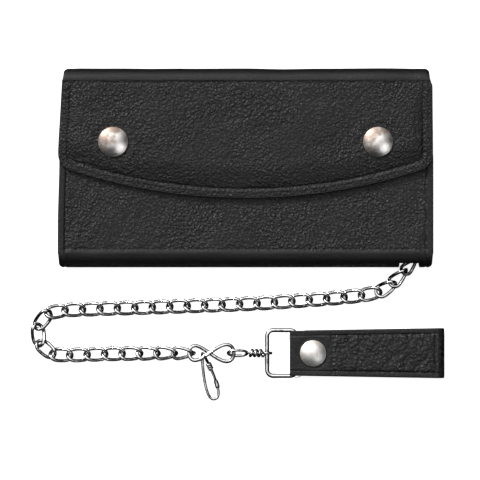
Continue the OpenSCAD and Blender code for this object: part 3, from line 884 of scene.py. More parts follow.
    def back(self) -> None:
        """The back with the lower spine, which bends where the spine starts."""
        arc = self.fold_r * np.pi / 2
        start = arc + self.flap_z - self.fold_r - self.seam_z
        roll = arc + self.flap_z - self.fold_r - self.roll_r
        end = roll + self.roll_r * np.pi / 2 + self.top_y - self.roll_r - self.fold_y
        run = np.concatenate([np.linspace(start, roll, 8)[:-1], np.linspace(roll, roll + 2, 8)[:-1],
                              np.linspace(roll + 2, roll + 8, 10)[:-1], np.arange(roll + 8, end - 0.5, 1.6), [end]])
        s = spaced(-1, 1, 0.016, 0.0045, 0.055, False)
        rim = np.array([0.0006, 0.002, 0.0045])
        s = np.unique(np.round(np.concatenate([s, rim - 1, 1 - rim]), 4))
        s, run = s[:, None], run[None, :]
        half = self.half_w - self.drawn_in(s, self.top_y - self.roll_r * (1 - np.pi / 2) - (run - roll))
        x = s * half
        face = self.over_the_top(x, run + 0 * s, half)
        edge = (half - np.abs(x)) + 0 * run
        y = face[..., 1]
        relief = -0.3 * bell(edge, 3.7, 0.45) * smooth(y, self.fold_y, self.fold_y + 3)
        band = smooth(y, 46.5, 48.5) + 0 * edge
        piece = ply("back_and_lower_spine", face, self.thick, edge, (0, 0, -1), relief, None, {"band": band})
        self.shop.bend(piece, self.shop.outer, ("wallet", "spine"), (0, self.top_y - 4.6, 0.4),
                       (0, self.top_y + 0.2, 4.2), "back_panel")

    def front(self) -> None:
        """The front and the bottom fold as one ply with the chain's slot, and its side stitches."""
        flat = self.front_top - self.fold_y
        end = flat + np.pi * self.fold_mid
        cut = [flat + self.fold_mid * np.arccos((z - self.fold_mid) / self.fold_mid) for z in self.slot_z[::-1]]
        steps = np.array([*RIM, 0.75])
        run = np.concatenate([spaced(0, flat, 1.15, 0.4, 3)[:-10], np.arange(flat - 3, end, 0.6), [end],
                              cut[0] - steps, cut[1] + steps])
        x = np.concatenate([spaced(-self.half_w, self.half_w, 1.15, 0.4, 6.8), self.slot_x[0] - steps,
                            self.slot_x[1] + steps])
        run, x = np.unique(np.round(run, 4)), np.unique(np.round(x, 4))
        keep = ~(((x[:-1] + x[1:])[:, None] / 2 > self.slot_x[0]) & ((x[:-1] + x[1:])[:, None] / 2 < self.slot_x[1])
                 & ((run[:-1] + run[1:])[None] / 2 > cut[0]) & ((run[:-1] + run[1:])[None] / 2 < cut[1]))
        x, run = x[:, None], run[None]
        face = self.round_the_bottom(x + 0 * run, run + 0 * x)
        face[..., 0] *= 1 - self.drawn_in(x, face[..., 1]) / self.half_w
        side = self.half_w - np.abs(x) + 0 * run
        hole = np.hypot(np.maximum(np.maximum(self.slot_x[0] - x, x - self.slot_x[1]), 0),
                        np.maximum(np.maximum(cut[0] - run, run - cut[1]), 0))
        inside = (x > self.slot_x[0]) & (x < self.slot_x[1]) & (run > cut[0]) & (run < cut[1])
        hole = np.where(inside, 0, hole)
        edge = np.minimum(np.minimum(side, run + 0 * x), hole)
        on_front = 1 - smooth(run, flat - 1.5, flat + 2)
        fold_line = flat - 1.6
        wave = 0.11 * ripple(x, -run, 8.5, 21, 3.2, 58) * (0.35 + 0.65 * smooth(-x, 20, 80))
        relief = on_front * smooth(side, 4, 8) * (0.17 * ripple(x, -run, 36, 23) + wave)
        relief = relief - 0.32 * bell(side, 3.7, 0.5) + 0.12 * bell(side, 2.0, 1.1) - 0.1 * bell(side, 1.9, 0.35)
        crease = 0.2 * bell(run, fold_line, 0.7) - 0.1 * bell(run, fold_line + 1.6, 1.0)
        relief = relief - crease * smooth(side, 2, 5)
        band = smooth(run, fold_line - 0.6, fold_line + 0.8) + 0 * x
        band = np.maximum(band, 0.75 * (1 - smooth(side, 3.0, 3.9)))
        piece = ply("front_and_bottom_fold", face, self.thick, edge, (0, -1, 0), relief, keep, {"band": band})
        self.shop.fit(piece, self.shop.outer, Slot.OUTER, "wallet", "front_panel", "bottom_fold")
        for side_name in Side:
            line_y = np.linspace(self.front_top - 1, self.fold_y + 1, 400)
            drawn = self.drawn_in(np.full(400, float(side_name.value)), line_y)
            across = side_name.value * (self.half_w - 1.9 - drawn)
            path = np.stack([across, line_y, np.full(400, self.front_z + 0.02)], -1)
            row = stitches(f"front_stitches_{side_name.name.lower()}", path)
            self.shop.fit(row, self.shop.thread, Slot.OUTER, "wallet")

    def build(self) -> None:
        """Makes the whole cover."""
        self.back()
        self.front()
        self.flap()


@dataclass
class Interior:
    """What shows at the sides and when the flap is open: gussets, card pockets and the bill divider, in mm."""

    shop: Workshop
    cover: Cover
    thin: float = 0.8
    stitch_in: float = 1.6
    pocket_step: float = 12.0

    def gusset(self, side: Side) -> None:
        """A thin side wall folded inwards like a V, its bends cut round, drawn along the side with a slight wave."""
        node = f"gusset_{side.name.lower()}"
        low, high = box_mm(node)
        out, tip = (high[0], low[0]) if side is Side.RIGHT else (-low[0], -high[0])
        top = high[2]
        mid = (low[2] + top) / 2
        line = np.array([[out, low[2] + 0.1], [out - 3.4, low[2] + 0.15], [tip + 3.2, low[2] + 1.3], [tip + 0.7, mid],
                         [tip + 3.2, top - 1.3], [out - 3.4, top - 0.15], [out, top - 0.1]])
        line = softened(line)
        y = spaced(low[1] - 3.5, high[1], 2.0, 0.5, 2.5)
        bend = np.sin(np.linspace(0, np.pi, len(line)))[:, None]
        wave = 0.35 * ripple(y[None], line[:, 1:2], 22, 31 + side.value) * bend
        x = side.value * (line[:, 0:1] + wave - self.cover.drawn_in(np.full(len(y), float(side.value)), y)[None])
        face = np.stack(np.broadcast_arrays(x, y[None], line[:, 1:2]), -1)
        edge = np.minimum(np.minimum(y - y[0], y[-1] - y), 9)[None] + 0 * wave
        piece = ply(f"{node}_leather", face, self.thin, edge, (side.value, 0, 0))
        self.shop.fit(piece, self.shop.lining, Slot.LINING, "wallet", node)

    def panel(self, name: str, low: Grid, high: Grid, bow: float, *nodes: str) -> None:
        """A thin flat leaf whose upper edge bows a little away from the back.

        Args:
            name: the leaf's name.
            low: lowest corner, in mm.
            high: highest corner, in mm.
            bow: how far the middle of the upper edge stands off, in mm.
            nodes: nodes of the frame it stands for.
        """
        x = spaced(low[0], high[0], 2.2, 0.5, 2.4)[:, None]
        y = spaced(low[1], high[1], 2.2, 0.5, 2.4)[None]
        share = (y - low[1]) / (high[1] - low[1])
        off = bow * share**4 * np.sin(np.pi * (x - low[0]) / (high[0] - low[0]))
        edge = np.minimum(np.minimum(x - low[0], high[0] - x), np.minimum(y - low[1], high[1] - y))
        face = np.stack(np.broadcast_arrays(x, y, high[2] + off), -1)
        crease = -0.06 * bell(high[1] - y, self.stitch_in + 1.1, 0.35) * smooth(edge, 0.5, 1.5)
        piece = ply(name, face, high[2] - low[2], edge, (0, 0, 1), crease)
        self.shop.fit(piece, self.shop.lining, Slot.LINING, "wallet", *nodes)
        across = np.linspace(low[0] + 1.5, high[0] - 1.5, 200)
        arch = np.sin(np.pi * (across - low[0]) / (high[0] - low[0]))
        rise = bow * (1 - self.stitch_in / (high[1] - low[1])) ** 4 * arch
        path = np.stack([across, np.full(200, high[1] - self.stitch_in), high[2] + rise + 0.01], -1)
        row = stitches(f"{name}_stitches", path, 2.6, 1.9, 0.28)
        self.shop.fit(row, self.shop.thread, Slot.LINING, "wallet")

    def pockets(self, side: Side) -> None:
        """A backing leaf with three card pockets that step down the back."""
        node = f"card_pockets_{side.name.lower()}"
        low, high = box_mm(node)
        leaf = (high[2] - low[2] - 0.6) / 3
        tag = side.name.lower()
        self.panel(f"card_backing_{tag}", low, np.array([high[0], high[1], low[2] + 0.58]), 0.0, node)
        for k in range(3):
            base = low[2] + 0.6 + k * leaf
            self.panel(f"card_pocket_{tag}_{k + 1}", np.array([low[0], low[1], base]),
                       np.array([high[0], high[1] - self.pocket_step * (k + 1), base + leaf - 0.03]), 0.22)

    def build(self) -> None:
        """Makes the inside."""
        for side in Side:
            self.gusset(side)
            self.pockets(side)
        low, high = box_mm("bill_divider")
        self.panel("bill_divider_leaf", low, high, 0.7, "bill_divider")


@dataclass
class Snaps:
    """Press studs: domed caps, their sockets, studs and rivets, in mm."""

    shop: Workshop
    post: float = 1.7
    rise: float = 1.9
    lip: float = 0.7
    flap_cap: float = 15.2
    strap_cap: float = 13.3
    flap_through: float = 2.3
    strap_through: float = 1.5

    def cap(self, name: str, node: str, centre: Sequence[float], wide: float, through: float, body: str) -> None:
        """A domed cap with a rolled rim and a post.

        The dome is part of a sphere: its height over the rim at distance r is R cos f + top - R with
        sin f = r / R, where R makes it `rise` tall. The rim is a small half-round roll.

        Args:
            name: the piece's name.
            node: node of the frame it stands for, or an empty name.
            centre: middle of its foot, in mm.
            wide: diameter, in mm.
            through: length of the post, in mm.
            body: body it rides on.
        """
        half = wide / 2
        r = half - 0.32
        big = (r * r + self.rise**2) / (2 * self.rise)
        f = np.linspace(0, np.arcsin(r / big), 26)
        dome = np.stack([big * np.sin(f), self.lip + self.rise - big + big * np.cos(f)], -1)
        a = np.linspace(1.35, -1.5, 12)
        rim = np.stack([half - 0.4 + 0.4 * np.cos(a), 0.36 + 0.36 * np.sin(a)], -1)
        foot = np.array([[half - 1.1, 0.04], [self.post, 0.04], [self.post, -through], [0, -through]])
        piece = lathe(name, np.concatenate([dome, rim, foot]), centre, 96, 50)
        finish = self.shop.pearl if body == "strap_flap" else self.shop.nickel
        self.shop.fit(piece, finish, Slot.SNAP, body, *([node] if node else []))

    def turned(self, name: str, node: str, profile: Sequence[Tuple[float, float]], centre: Sequence[float],
               body: str) -> None:
        """A turned part from its outline, with its corners softened a little."""
        line = np.array(profile, float)
        ends = line[0, 0] <= 0 and line[-1, 0] <= 0
        ring = line if ends else np.concatenate([line, line[:1]])
        step = np.diff(ring, axis=0)
        size = np.linalg.norm(step, axis=1, keepdims=True)
        cut = np.minimum(0.09, size * 0.3) * step / size
        pairs = np.stack([ring[:-1] + cut, ring[1:] - cut], 1).reshape(-1, 2)
        if ends:
            pairs = np.concatenate([ring[:1], pairs[1:-1], ring[-1:]])
        piece = lathe(name, pairs, centre, 64, 30)
        self.shop.fit(piece, self.shop.hidden, Slot.SNAP, body, *([node] if node else []))

    def stud(self, name: str, node: str, centre: Sequence[float], body: str) -> None:
        """The male half: a flange and a waisted knob."""
        self.turned(name, node, [(0, 0), (5.4, 0), (5.4, 0.5), (4.2, 0.5), (3.9, 0.35), (2.9, 0.5), (2.5, 0.8),
                                 (2.5, 1.1), (3.0, 1.4), (3.0, 1.8), (2.6, 2.1), (0, 2.1)], centre, body)

    def socket(self, name: str, node: str, centre: Sequence[float], body: str) -> None:
        """The female half: a flange with a ring that drops round the knob, rolled at its lower edge."""
        self.turned(name, node, [(1.75, 0), (6.0, 0), (6.0, -0.5), (5.2, -0.5), (5.2, -1.7), (4.8, -2.2), (3.9, -2.2),
                                 (3.5, -1.9), (3.5, -0.5), (1.75, -0.5)], centre, body)

    def build(self) -> None:
        """Makes the two snaps of the flap and the one of the belt strap, read from the frame's places."""
        top = box_mm("flap_leather")[1][2]
        front = box_mm("front_panel")[1][2]
        caps = box_mm("flap_snap_caps")
        x = (caps[1][0] - caps[0][0] - self.flap_cap) / 2
        y = (caps[0][1] + caps[1][1]) / 2
        for side in Side:
            tag = side.name.lower()
            first = side is Side.LEFT
            at = (side.value * x, y)
            self.cap(f"flap_cap_{tag}", "flap_snap_caps" if first else "", (*at, top - 0.05), self.flap_cap,
                     self.flap_through, "flap")
            self.socket(f"flap_socket_{tag}", "flap_snap_sockets" if first else "", (*at, top - 2.4), "flap")
            self.stud(f"front_stud_{tag}", "snap_studs" if first else "", (*at, front), "wallet")
        self.shop.dress(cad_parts["snap_rivets"], self.shop.hidden)
        low, high = box_mm("strap_snap_cap")
        at = ((low[0] + high[0]) / 2, (low[1] + high[1]) / 2)
        strap_top = box_mm("strap_front")[1][2]
        self.cap("strap_cap", "strap_snap_cap", (*at, strap_top - 0.02), self.strap_cap, self.strap_through,
                 "strap_flap")
        self.socket("strap_socket", "strap_snap_socket", (*at, box_mm("strap_front")[0][2]), "strap_flap")
        self.stud("strap_stud", "strap_snap_stud", (*at, box_mm("strap_snap_stud")[0][2]), "belt_strap")
        self.shop.dress(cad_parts["strap_snap_rivet"], self.shop.hidden)


# ---------------------------------------------------------------- chain and fittings


def turn_about(axis: int, degrees: float) -> Grid:
    """The 3 x 3 matrix of a turn about x, y or z."""
    c, s = np.cos(np.radians(degrees)), np.sin(np.radians(degrees))
    i, j = [(1, 2), (2, 0), (0, 1)][axis]
    m = np.eye(3)
    m[i, i] = m[j, j] = c
    m[i, j], m[j, i] = -s, s
    return m


@dataclass
class CurbChain:
    """Thirty-three twisted oval links, in mm."""

    shop: Workshop
    wire: float = 1.7
    length: float = 12.9
    width: float = 7.7
    twist: float = 45.0
    headings: Tuple[float, ...] = (226, 226, 212, 192, 186, 185, 184, 184, 184, 183, 183, *(182,) * 6, 181,
                                   *(182,) * 3, 190, 232, 276, 320, 358, 362, 362, 361, 361, 361, 360, 360)
    falls: Tuple[float, ...] = (6, 11, 10, 3)
    first_rolls: Tuple[float, ...] = (-52, -36, -20, -6)
    last_rolls: Tuple[float, ...] = (9, 18, 28, 38)

    def link_line(self) -> Grid:
        """An oval of two half circles joined by straight sides, twisted about its long axis.

        A point at distance x along the link turns about the axis by twist times x over half the length, so the
        two ends lie a quarter turn apart.

        Returns:
            (n, 3) closed path round the origin, long axis on x.
        """
        a, b = (self.length - self.wire) / 2, (self.width - self.wire) / 2
        s = a - b
        f = np.radians(np.linspace(-90, 90, 19))
        side = np.linspace(s, -s, 8)[1:-1]
        flat = np.concatenate([
            np.stack([s + b * np.cos(f), b * np.sin(f)], -1), np.stack([side, b + 0 * side], -1),
            np.stack([-s - b * np.cos(f), -b * np.sin(f)], -1), np.stack([-side, -b + 0 * side], -1)])
        turn = np.radians(self.twist) * flat[:, 0] / a
        return np.stack([flat[:, 0], flat[:, 1] * np.cos(turn), flat[:, 1] * np.sin(turn)], -1)

    def build(self) -> None:
        """Makes each link at its node's place, turned by its roll, fall and heading."""
        points, quads, uv = sweep(self.link_line(), self.wire / 2 + 0.03, 14)
        quads = facing_out(points, quads)
        count = len(self.headings)
        for i, heading in enumerate(self.headings):
            fall = self.falls[i] if i < len(self.falls) else 0
            late = i - count + len(self.last_rolls)
            roll = self.last_rolls[late] if late >= 0 else self.first_rolls[i] if i < len(self.first_rolls) else 0
            name = f"link_{i + 1:02d}"
            low, high = box_mm(name)
            turn = turn_about(2, heading) @ turn_about(1, fall) @ turn_about(0, roll)
            piece = mesh_piece(f"curb_{name}", points @ turn.T + (low + high) / 2, quads, CLEAN_TURN, uv)
            self.shop.fit(piece, self.shop.steel, Slot.CHAIN, name, name)
        self.shop.dress(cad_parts["chain_anchor"], self.shop.steel)


@dataclass
class Fittings:
    """The figure-eight, the key clip, the swivel and the belt ring, in mm."""

    shop: Workshop
    eight_wire: float = 1.9
    eight_left: float = 10.4
    eight_right: float = 12.4
    eight_up: float = 4.3
    clip_wire: float = 1.5
    clip_l: float = 24.0
    clip_heading: float = -75.0
    hang_turn: float = 108.0
    swivel_wire: float = 1.4
    eye_l: float = 11.4
    eye_w: float = 5.6
    eye_tilt: float = 54.0
    ring_wire: float = 2.2
    ring_corner: float = 3.0

    def __post_init__(self) -> None:
        """Reads the places that the frame gives."""
        low, high = box_mm("belt_ring")
        self.line_y = (low[1] + high[1]) / 2
        self.line_z = (low[2] + high[2]) / 2
        self.ring = (low[0] + self.ring_wire / 2, high[0] - self.ring_wire / 2)
        self.ring_half = (high[1] - low[1] - self.ring_wire) / 2
        self.eye_x = box_mm("swivel_eye")[0][0] + self.swivel_wire / 2
        eight = box_mm("figure_eight")
        self.eight_x = eight[0][0] + self.eight_wire / 2 + self.eight_left

    def eight_point(self, turn: Grid) -> Grid:
        """The figure-eight at a turn in degrees: x = reach cos t, y = up sin 2t, z = 1.05 sin t.

        Each lobe has its own reach and height.
        """
        t = np.radians(np.asarray(turn, float))
        reach = np.where(np.cos(t) > 0, self.eight_right, self.eight_left)
        up = np.where(np.cos(t) > 0, self.eight_up, self.eight_up - 0.6)
        return np.stack([self.eight_x + reach * np.cos(t), self.line_y + up * np.sin(2 * t),
                         self.line_z + 1.05 * np.sin(t)], -1)

    def clip_point(self, turn: Grid) -> Grid:
        """The key clip's wire at a turn in degrees.

        It runs out by (1 - cos t) / 2 of the length and swings sideways by sin t, wider towards its foot. In the
        lower half sin t is raised to 0.72, which makes the foot blunt. Near the figure-eight it rises over that
        wire along half a cosine, and elsewhere it lies low.
        """
        t = np.radians(np.asarray(turn, float))
        hang = self.eight_point(self.hang_turn)
        u = (1 - np.cos(t)) / 2 * self.clip_l
        side = np.sin(t)
        bulge = np.sign(side) * np.abs(side) ** np.where(np.cos(t) < 0, 0.72, 1.0)
        w = 3.75 * bulge * (0.3 + 0.74 * u / self.clip_l)
        fade = (np.cos(np.pi * np.minimum(u / 10, 1)) + 1) / 2
        rise = fade * (hang[2] - 0.9 + 2.5 * np.clip(side / 0.5, -1, 1))
        c, s = np.cos(np.radians(self.clip_heading)), np.sin(np.radians(self.clip_heading))
        return np.stack([hang[0] - 0.3 + u * c - w * s, hang[1] + 2.0 + u * s + w * c,
                         self.clip_wire / 2 + 0.15 + rise], -1)

    def coil_round(self, core: Grid, radius: float, turns: float) -> Grid:
        """A coil about a line: radius times the cosine and sine of the turns made so far, square to the line."""
        line = along(core, int(turns * 22))
        t = unit(np.gradient(line, axis=0))
        s = unit(np.cross(t, np.array([0.2, 0.1, 1.0])))
        w = np.cross(s, t)
        a = 2 * np.pi * turns * np.linspace(0, 1, len(line))
        return line + radius * (np.cos(a)[:, None] * s + np.sin(a)[:, None] * w)

    def wire(self, name: str, body: str, path: Grid, radius: float, *node: str, sides: int = 14, closed: bool = True,
             up: Place = (0, 0, 1)) -> None:
        """A steel wire that rides on a body and stands for a node if one is named; the rest is as in sweep."""
        self.shop.fit(wire_piece(name, path, radius, sides, closed, up), self.shop.steel, Slot.CHAIN, body, *node)

    def build_eight(self) -> None:
        """The figure-eight wire."""
        self.wire("figure_eight_wire", "figure_eight", self.eight_point(np.arange(0, 360, 2.5)), self.eight_wire / 2,
                  "figure_eight")

    def build_clip(self) -> None:
        """The key clip: its bent wire, the coil near its top, and the hooked latch that holds the gate."""
        loop = along(np.concatenate([self.clip_point(np.arange(0, 360, 2)), self.clip_point([0.0])]), 181)[:-1]
        self.wire("key_clip_wire", "key_clip", loop, self.clip_wire / 2 - 0.02, "key_clip")
        coil = self.coil_round(self.clip_point(np.linspace(58, 76, 40)), 1.0, 3.0)
        self.wire("key_clip_coil", "key_clip", coil, 0.5, sides=10, closed=False, up=(0.31, 0.2, 0.93))
        self.wire("key_clip_latch", "key_clip", self.clip_point(np.linspace(108, 122, 24)), 1.15, closed=False)
        gate = self.clip_point(np.linspace(76, 110, 40)) + np.array([-0.2, -0.1, 0.75])
        self.wire("key_clip_gate", "key_clip", gate, 0.5, sides=12, closed=False)

    def build_swivel(self) -> None:
        """The swivel's eye, its neck, the turns wrapped round it and the loop on the ring's bar."""
        t = np.radians(np.arange(0, 360, 3.75))
        long = self.eye_l - self.swivel_wire
        flat = np.stack([(1 - np.cos(t)) / 2 * long, self.eye_w / 2 * 0.87 * np.sin(t), 0 * t], -1)
        eye = flat @ turn_about(0, self.eye_tilt).T + (self.eye_x, self.line_y, self.line_z)
        r = self.swivel_wire / 2
        self.wire("swivel_eye_wire", "swivel", eye, r, "swivel_eye", up=(0.02, -0.44, 0.9))
        bar = self.ring[0]
        start, end = self.eye_x + long - 0.3, bar - 1.6
        neck = np.stack([np.linspace(start, end, 12), np.full(12, self.line_y), np.full(12, self.line_z)], -1)
        self.wire("swivel_neck", "swivel", neck, r, closed=False)
        core = neck * (0, 1, 1) + np.linspace(start + 1.7, end - 0.3, 12)[:, None] * (1, 0, 0)
        self.wire("swivel_coil", "swivel", self.coil_round(core, 1.42, 3.1), r + 0.14, sides=12, closed=False,
                  up=(1.0, 0.03, 0.02))
        loop_r = self.ring_wire / 2 + 0.2 + r
        a = np.linspace(0, 2 * np.pi, 64, endpoint=False)
        loop = np.stack([bar + loop_r * np.cos(a), self.line_y + 0 * a, self.line_z + loop_r * np.sin(a)], -1)
        self.wire("swivel_loop", "swivel", loop, r, "swivel_wrap", up=(0, 1, 0))

    def build_ring(self) -> None:
        """The belt ring: a rectangle of wire with rounded corners."""
        x0, x1 = self.ring
        mid, dx, dy = (x0 + x1) / 2, (x1 - x0) / 2 - self.ring_corner, self.ring_half - self.ring_corner
        corner = np.radians(np.linspace(0, 90, 15))
        parts = [np.stack([mid + sx * dx + self.ring_corner * np.cos(corner + q), self.line_y + sy * dy
                           + self.ring_corner * np.sin(corner + q)], -1)
                 for sx, sy, q in ((1, 1, 0), (-1, 1, np.pi / 2), (-1, -1, np.pi), (1, -1, 1.5 * np.pi))]
        line = np.concatenate([*parts, parts[0][:1]])
        flat = along(line, 161)[:-1]
        path = np.concatenate([flat, np.full((160, 1), self.line_z)], 1)
        self.wire("belt_ring_wire", "belt_ring", path, self.ring_wire / 2, "belt_ring", sides=16)

    def build(self) -> None:
        """Makes every fitting."""
        self.build_eight()
        self.build_clip()
        self.build_swivel()
        self.build_ring()


@dataclass
class BeltStrap:
    """The leather strap that folds over a belt: its long ply and the loop that holds the ring, in mm."""

    shop: Workshop
    thick: float = 1.6
    left_w: float = 22.9
    right_w: float = 25.5
    loop_w: float = 17.0
    margin: float = 2.6
    start_x: float = 30.2
    wrap_r: float = 2.85
    loop_z: float = 3.2
    stitch_in: float = 1.5

    def __post_init__(self) -> None:
        """Reads the places that the frame gives."""
        low, high = box_mm("strap_front")
        self.left_x, self.top_z = low[0], high[2]
        self.line_y = (low[1] + high[1]) / 2
        self.right_x = box_mm("strap_back")[1][0]
        self.fold_r = self.top_z / 2
        self.fold_x = self.right_x - self.fold_r
        ring = box_mm("belt_ring")
        self.bar = (ring[1][0] - 1.1, (ring[0][2] + ring[1][2]) / 2)
        snap = box_mm("strap_snap_cap")
        self.snap_x = (snap[0][0] + snap[1][0]) / 2

    def half_width(self, x: Grid) -> Grid:
        """Half the strap's width at x, which widens evenly to the right."""
        share = np.clip((x - self.left_x) / (self.right_x - self.left_x), 0, 1)
        return (self.left_w + (self.right_w - self.left_w) * share) / 2

    def long_ply(self) -> None:
        """The bottom ply, the fold at the right end and the front ply as one piece that bends at the fold.

        Seen from the side it runs straight to the right, round a half circle of radius fold_r, and straight back.
        """
        flat = self.fold_x - self.start_x
        half_turn = np.pi * self.fold_r
        total = flat + half_turn + self.fold_x - self.left_x
        run = np.concatenate([np.arange(0, flat - 1, 1.2), np.linspace(flat - 1, flat + half_turn + 1, 36),
                              np.arange(flat + half_turn + 1.6, total - 5, 0.7),
                              total - spaced(0, 6, 0.7, 0.35, 2)[::-1]])
        run = np.unique(np.round(run, 3))[:, None]
        s = spaced(-12, 12, 0.8, 0.3, 4.2)[None] / 12
        a = np.clip((run - flat) / self.fold_r, 0, np.pi)
        x = np.where(run < flat, self.start_x + run, np.where(
            run < flat + half_turn, self.fold_x + self.fold_r * np.sin(a), self.fold_x - (run - flat - half_turn)))
        z = np.where(run < flat, 0, np.where(run < flat + half_turn, self.fold_r * (1 - np.cos(a)), self.top_z))
        half = self.half_width(x)
        ends = np.minimum(total - run, 30)
        face = np.stack(np.broadcast_arrays(x, self.line_y + s * half, z), -1)
        side = half * (1 - np.abs(s))
        edge = np.minimum(side, ends)
        on_top = smooth(run, flat + half_turn * 0.75, flat + half_turn + 1.0)
        y = face[..., 1] - self.line_y
        from_snap = np.hypot(x - self.snap_x, y)
        field = smooth(side, self.margin - 0.2, self.margin + 1.6) * smooth(x, self.snap_x + 8, self.snap_x + 12) \
            * smooth(self.right_x - 4.6 - x, 0, 1.5)
        relief = 0.42 * field - 0.34 * bell(side, self.margin, 0.4) - 0.12 * bell(side, self.stitch_in, 0.4)
        relief = relief + field * (0.16 * ripple(x, y, 9, 51) + 0.07 * ripple(x, y, 4, 53))
        relief = relief - 0.3 * bell(self.right_x - 4.3 - x, 0, 0.5) * smooth(side, 2, 3)
        relief = relief - 0.28 * bell(from_snap, 7.5, 1.2) - 0.18 * bell(x, self.snap_x + 9.6, 0.7)
        band = np.maximum(1 - smooth(side, self.margin - 0.5, self.margin + 0.4),
                          smooth(x, self.right_x - 5, self.right_x - 4))
        band = np.maximum(0.85 * band, 0.8 * (1 - smooth(x, self.snap_x + 8, self.snap_x + 11)))
        piece = ply("strap_leather", face, self.thick, edge, (1, 0, 0), relief * on_top, None,
                    {"band": band * on_top + 0.3 * (1 - on_top)})
        self.shop.bend(piece, self.shop.strap, ("belt_strap", "strap_flap"), (self.fold_x, self.line_y, 1.8),
                       (self.fold_x, self.line_y, self.top_z - 1.75), "strap_front")

    def loop(self) -> None:
        """The end of the strap that wraps the ring's bar and comes back to be fixed by the stud."""
        r, z = self.wrap_r, self.loop_z
        bx, bz = self.bar
        a = np.radians(np.linspace(-90, -320, 40))
        round_bar = np.stack([bx + r * np.cos(a), bz + r * np.sin(a)], -1)
        down = softened(np.array([round_bar[-1] + (0.02, -0.02), [bx + 3.45, z], [bx + 8, z]]), 3)
        back = np.stack([np.linspace(bx + 8.6, bx + 17.2, 14), np.full(14, z)], -1)
        under = np.stack([np.linspace(self.start_x - 0.02, bx + 0.2, 8), np.full(8, bz - r)], -1)
        line = np.concatenate([under, round_bar, down, back])
        run = lengths(line)
        fine = np.unique(np.concatenate([np.linspace(0, run[-1] - 1, 100), run[-1] - np.array([*RIM, 0.7])]))
        line = pick(line, run, fine)
        s = spaced(-self.loop_w / 2, self.loop_w / 2, 1.0, 0.4, 2.0)
        face = np.stack(np.broadcast_arrays(line[:, 0:1], self.line_y + s[None], line[:, 1:2]), -1)
        edge = np.minimum(self.loop_w / 2 - np.abs(s)[None], (run[-1] - fine)[:, None])
        relief = -0.15 * bell(edge, 1.6, 0.35)
        piece = ply("strap_ring_loop", face, self.thick - 0.06, edge, (-1, 0, 0), relief, None,
                    {"band": np.full(edge.shape, 0.4)})
        self.shop.fit(piece, self.shop.strap, Slot.OUTER, "belt_strap", "strap_back")

    def sewing(self) -> None:
        """The rows of thread along both edges, and the loose thread at the lower left."""
        x = np.linspace(self.snap_x + 9.5, self.right_x - 5.2, 300)
        for tag, way in (("upper", 1), ("lower", -1)):
            y = self.line_y + way * (self.half_width(x) - self.stitch_in)
            path = np.stack([x, y, np.full(300, self.top_z)], -1)
            row = stitches(f"strap_stitches_{tag}", path, 2.5, 1.8, 0.32)
            self.shop.fit(row, self.shop.thread, Slot.OUTER, "strap_flap")
        t = np.linspace(0, 1, 30)
        tail = np.stack([self.left_x + 2.2 + 2.6 * t - 0.7 * np.sin(4 * t), self.line_y - self.half_width(self.left_x)
                         + 0.3 - 1.15 * np.sin(2.6 * t), self.top_z - 1.0 - 0.4 * t], -1)
        tail_piece = wire_piece("strap_thread_tail", tail, 0.16, 8, False)
        self.shop.fit(tail_piece, self.shop.thread, Slot.OUTER, "strap_flap")

    def build(self) -> None:
        """Makes the strap."""
        self.long_ply()
        self.loop()
        self.sewing()


# ---------------------------------------------------------------- studio


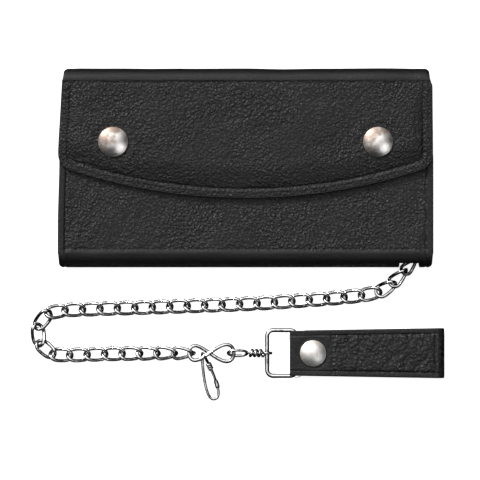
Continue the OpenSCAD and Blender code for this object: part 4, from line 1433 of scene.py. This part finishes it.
@dataclass
class Studio:
    """Camera straight above, a lit floor and soft light, in mm and degrees."""

    shop: Workshop
    middle: Tuple[float, float] = (-2.8, -36.5)
    wide: float = 243.2
    level: float = 16.0
    lens: float = 350.0
    sensor: float = 36.0
    floor_half: float = 9000.0
    floor_z: float = -0.15
    bright_way: Place = (-0.22, 0.5, 0.84)
    sky: Tuple[Tuple[str, float], ...] = (("From Min", 0.55), ("From Max", 0.96), ("To Min", 0.0), ("To Max", 1.25))
    lamps: Tuple[tuple, ...] = (("key_light", (-46, 40), 2.3, 14, (1.0, 0.99, 0.97)),
                                ("fill_light", (30, -22), 0.4, 34, (0.97, 0.98, 1.0)))

    def camera(self) -> None:
        """A long lens looking straight down, far enough for `wide` to fill the picture at height `level`."""
        data = bpy.data.cameras.new("studio_camera")
        data.lens, data.sensor_width, data.clip_end = self.lens, self.sensor, 100.0
        camera = bpy.data.objects.new("studio_camera", data)
        camera.location = (self.middle[0] * MM, self.middle[1] * MM,
                           (self.level + self.wide * self.lens / self.sensor) * MM)
        bpy.context.scene.collection.objects.link(camera)
        bpy.context.scene.camera = camera

    def floor(self) -> None:
        """A wide plane just under the lowest point."""
        h, z = self.floor_half, self.floor_z
        points = np.array([[-h, -h, z], [h, -h, z], [h, h, z], [-h, h, z]])
        piece = mesh_piece("studio_floor", points, [[0, 1, 2, 3]])
        self.shop.dress(piece, self.shop.floor)

    def sun(self, name: str, tilt: Tuple[float, float], strength: float, wide: float, tint: Colour) -> None:
        """A broad soft light at a tilt from the upright, towards x and y in degrees."""
        data = bpy.data.lights.new(name, "SUN")
        data.energy, data.angle, data.color = strength, np.radians(wide), tint
        lamp = bpy.data.objects.new(name, data)
        x, y = np.radians(tilt[0]), np.radians(tilt[1])
        lamp.rotation_euler = (-y, x, 0)
        bpy.context.scene.collection.objects.link(lamp)

    def world(self) -> None:
        """White to the camera, and in reflections bright to the upper left and black towards the horizon.

        The brightness follows the dot product of the direction with bright_way along a smooth step.
        """
        world = bpy.data.worlds.new("studio")
        world.use_nodes = True
        nodes, links = world.node_tree.nodes, world.node_tree.links
        place = nodes.new("ShaderNodeTexCoord")
        facing = nodes.new("ShaderNodeVectorMath")
        facing.operation = "DOT_PRODUCT"
        facing.inputs[1].default_value = self.bright_way
        links.new(place.outputs["Generated"], facing.inputs[0])
        rise = nodes.new("ShaderNodeMapRange")
        rise.interpolation_type = "SMOOTHSTEP"
        links.new(facing.outputs["Value"], rise.inputs["Value"])
        for key, value in self.sky:
            rise.inputs[key].default_value = value
        seen = nodes.new("ShaderNodeLightPath")
        mix = nodes.new("ShaderNodeMix")
        mix.data_type = "FLOAT"
        links.new(seen.outputs["Is Camera Ray"], mix.inputs[0])
        links.new(rise.outputs["Result"], mix.inputs[2])
        mix.inputs[3].default_value = 1.0
        links.new(mix.outputs[0], nodes["Background"].inputs["Strength"])
        nodes["Background"].inputs["Color"].default_value = (1, 1, 1, 1)
        bpy.context.scene.world = world

    def build(self) -> None:
        """Sets up the studio."""
        bpy.context.scene.view_settings.view_transform = "Standard"
        self.camera()
        self.floor()
        self.world()
        for lamp in self.lamps:
            self.sun(*lamp)


def main() -> None:
    """Builds the studio and every sub-assembly in order."""
    logging.basicConfig(level=logging.INFO, format="%(message)s")
    shop = Workshop()
    cover = Cover(shop)
    for part in (Studio(shop), cover, Interior(shop, cover), Snaps(shop), CurbChain(shop), Fittings(shop),
                 BeltStrap(shop)):
        LOG.info("making %s", type(part).__name__)
        part.build()


if __name__ == "__main__":
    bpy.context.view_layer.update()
    main()
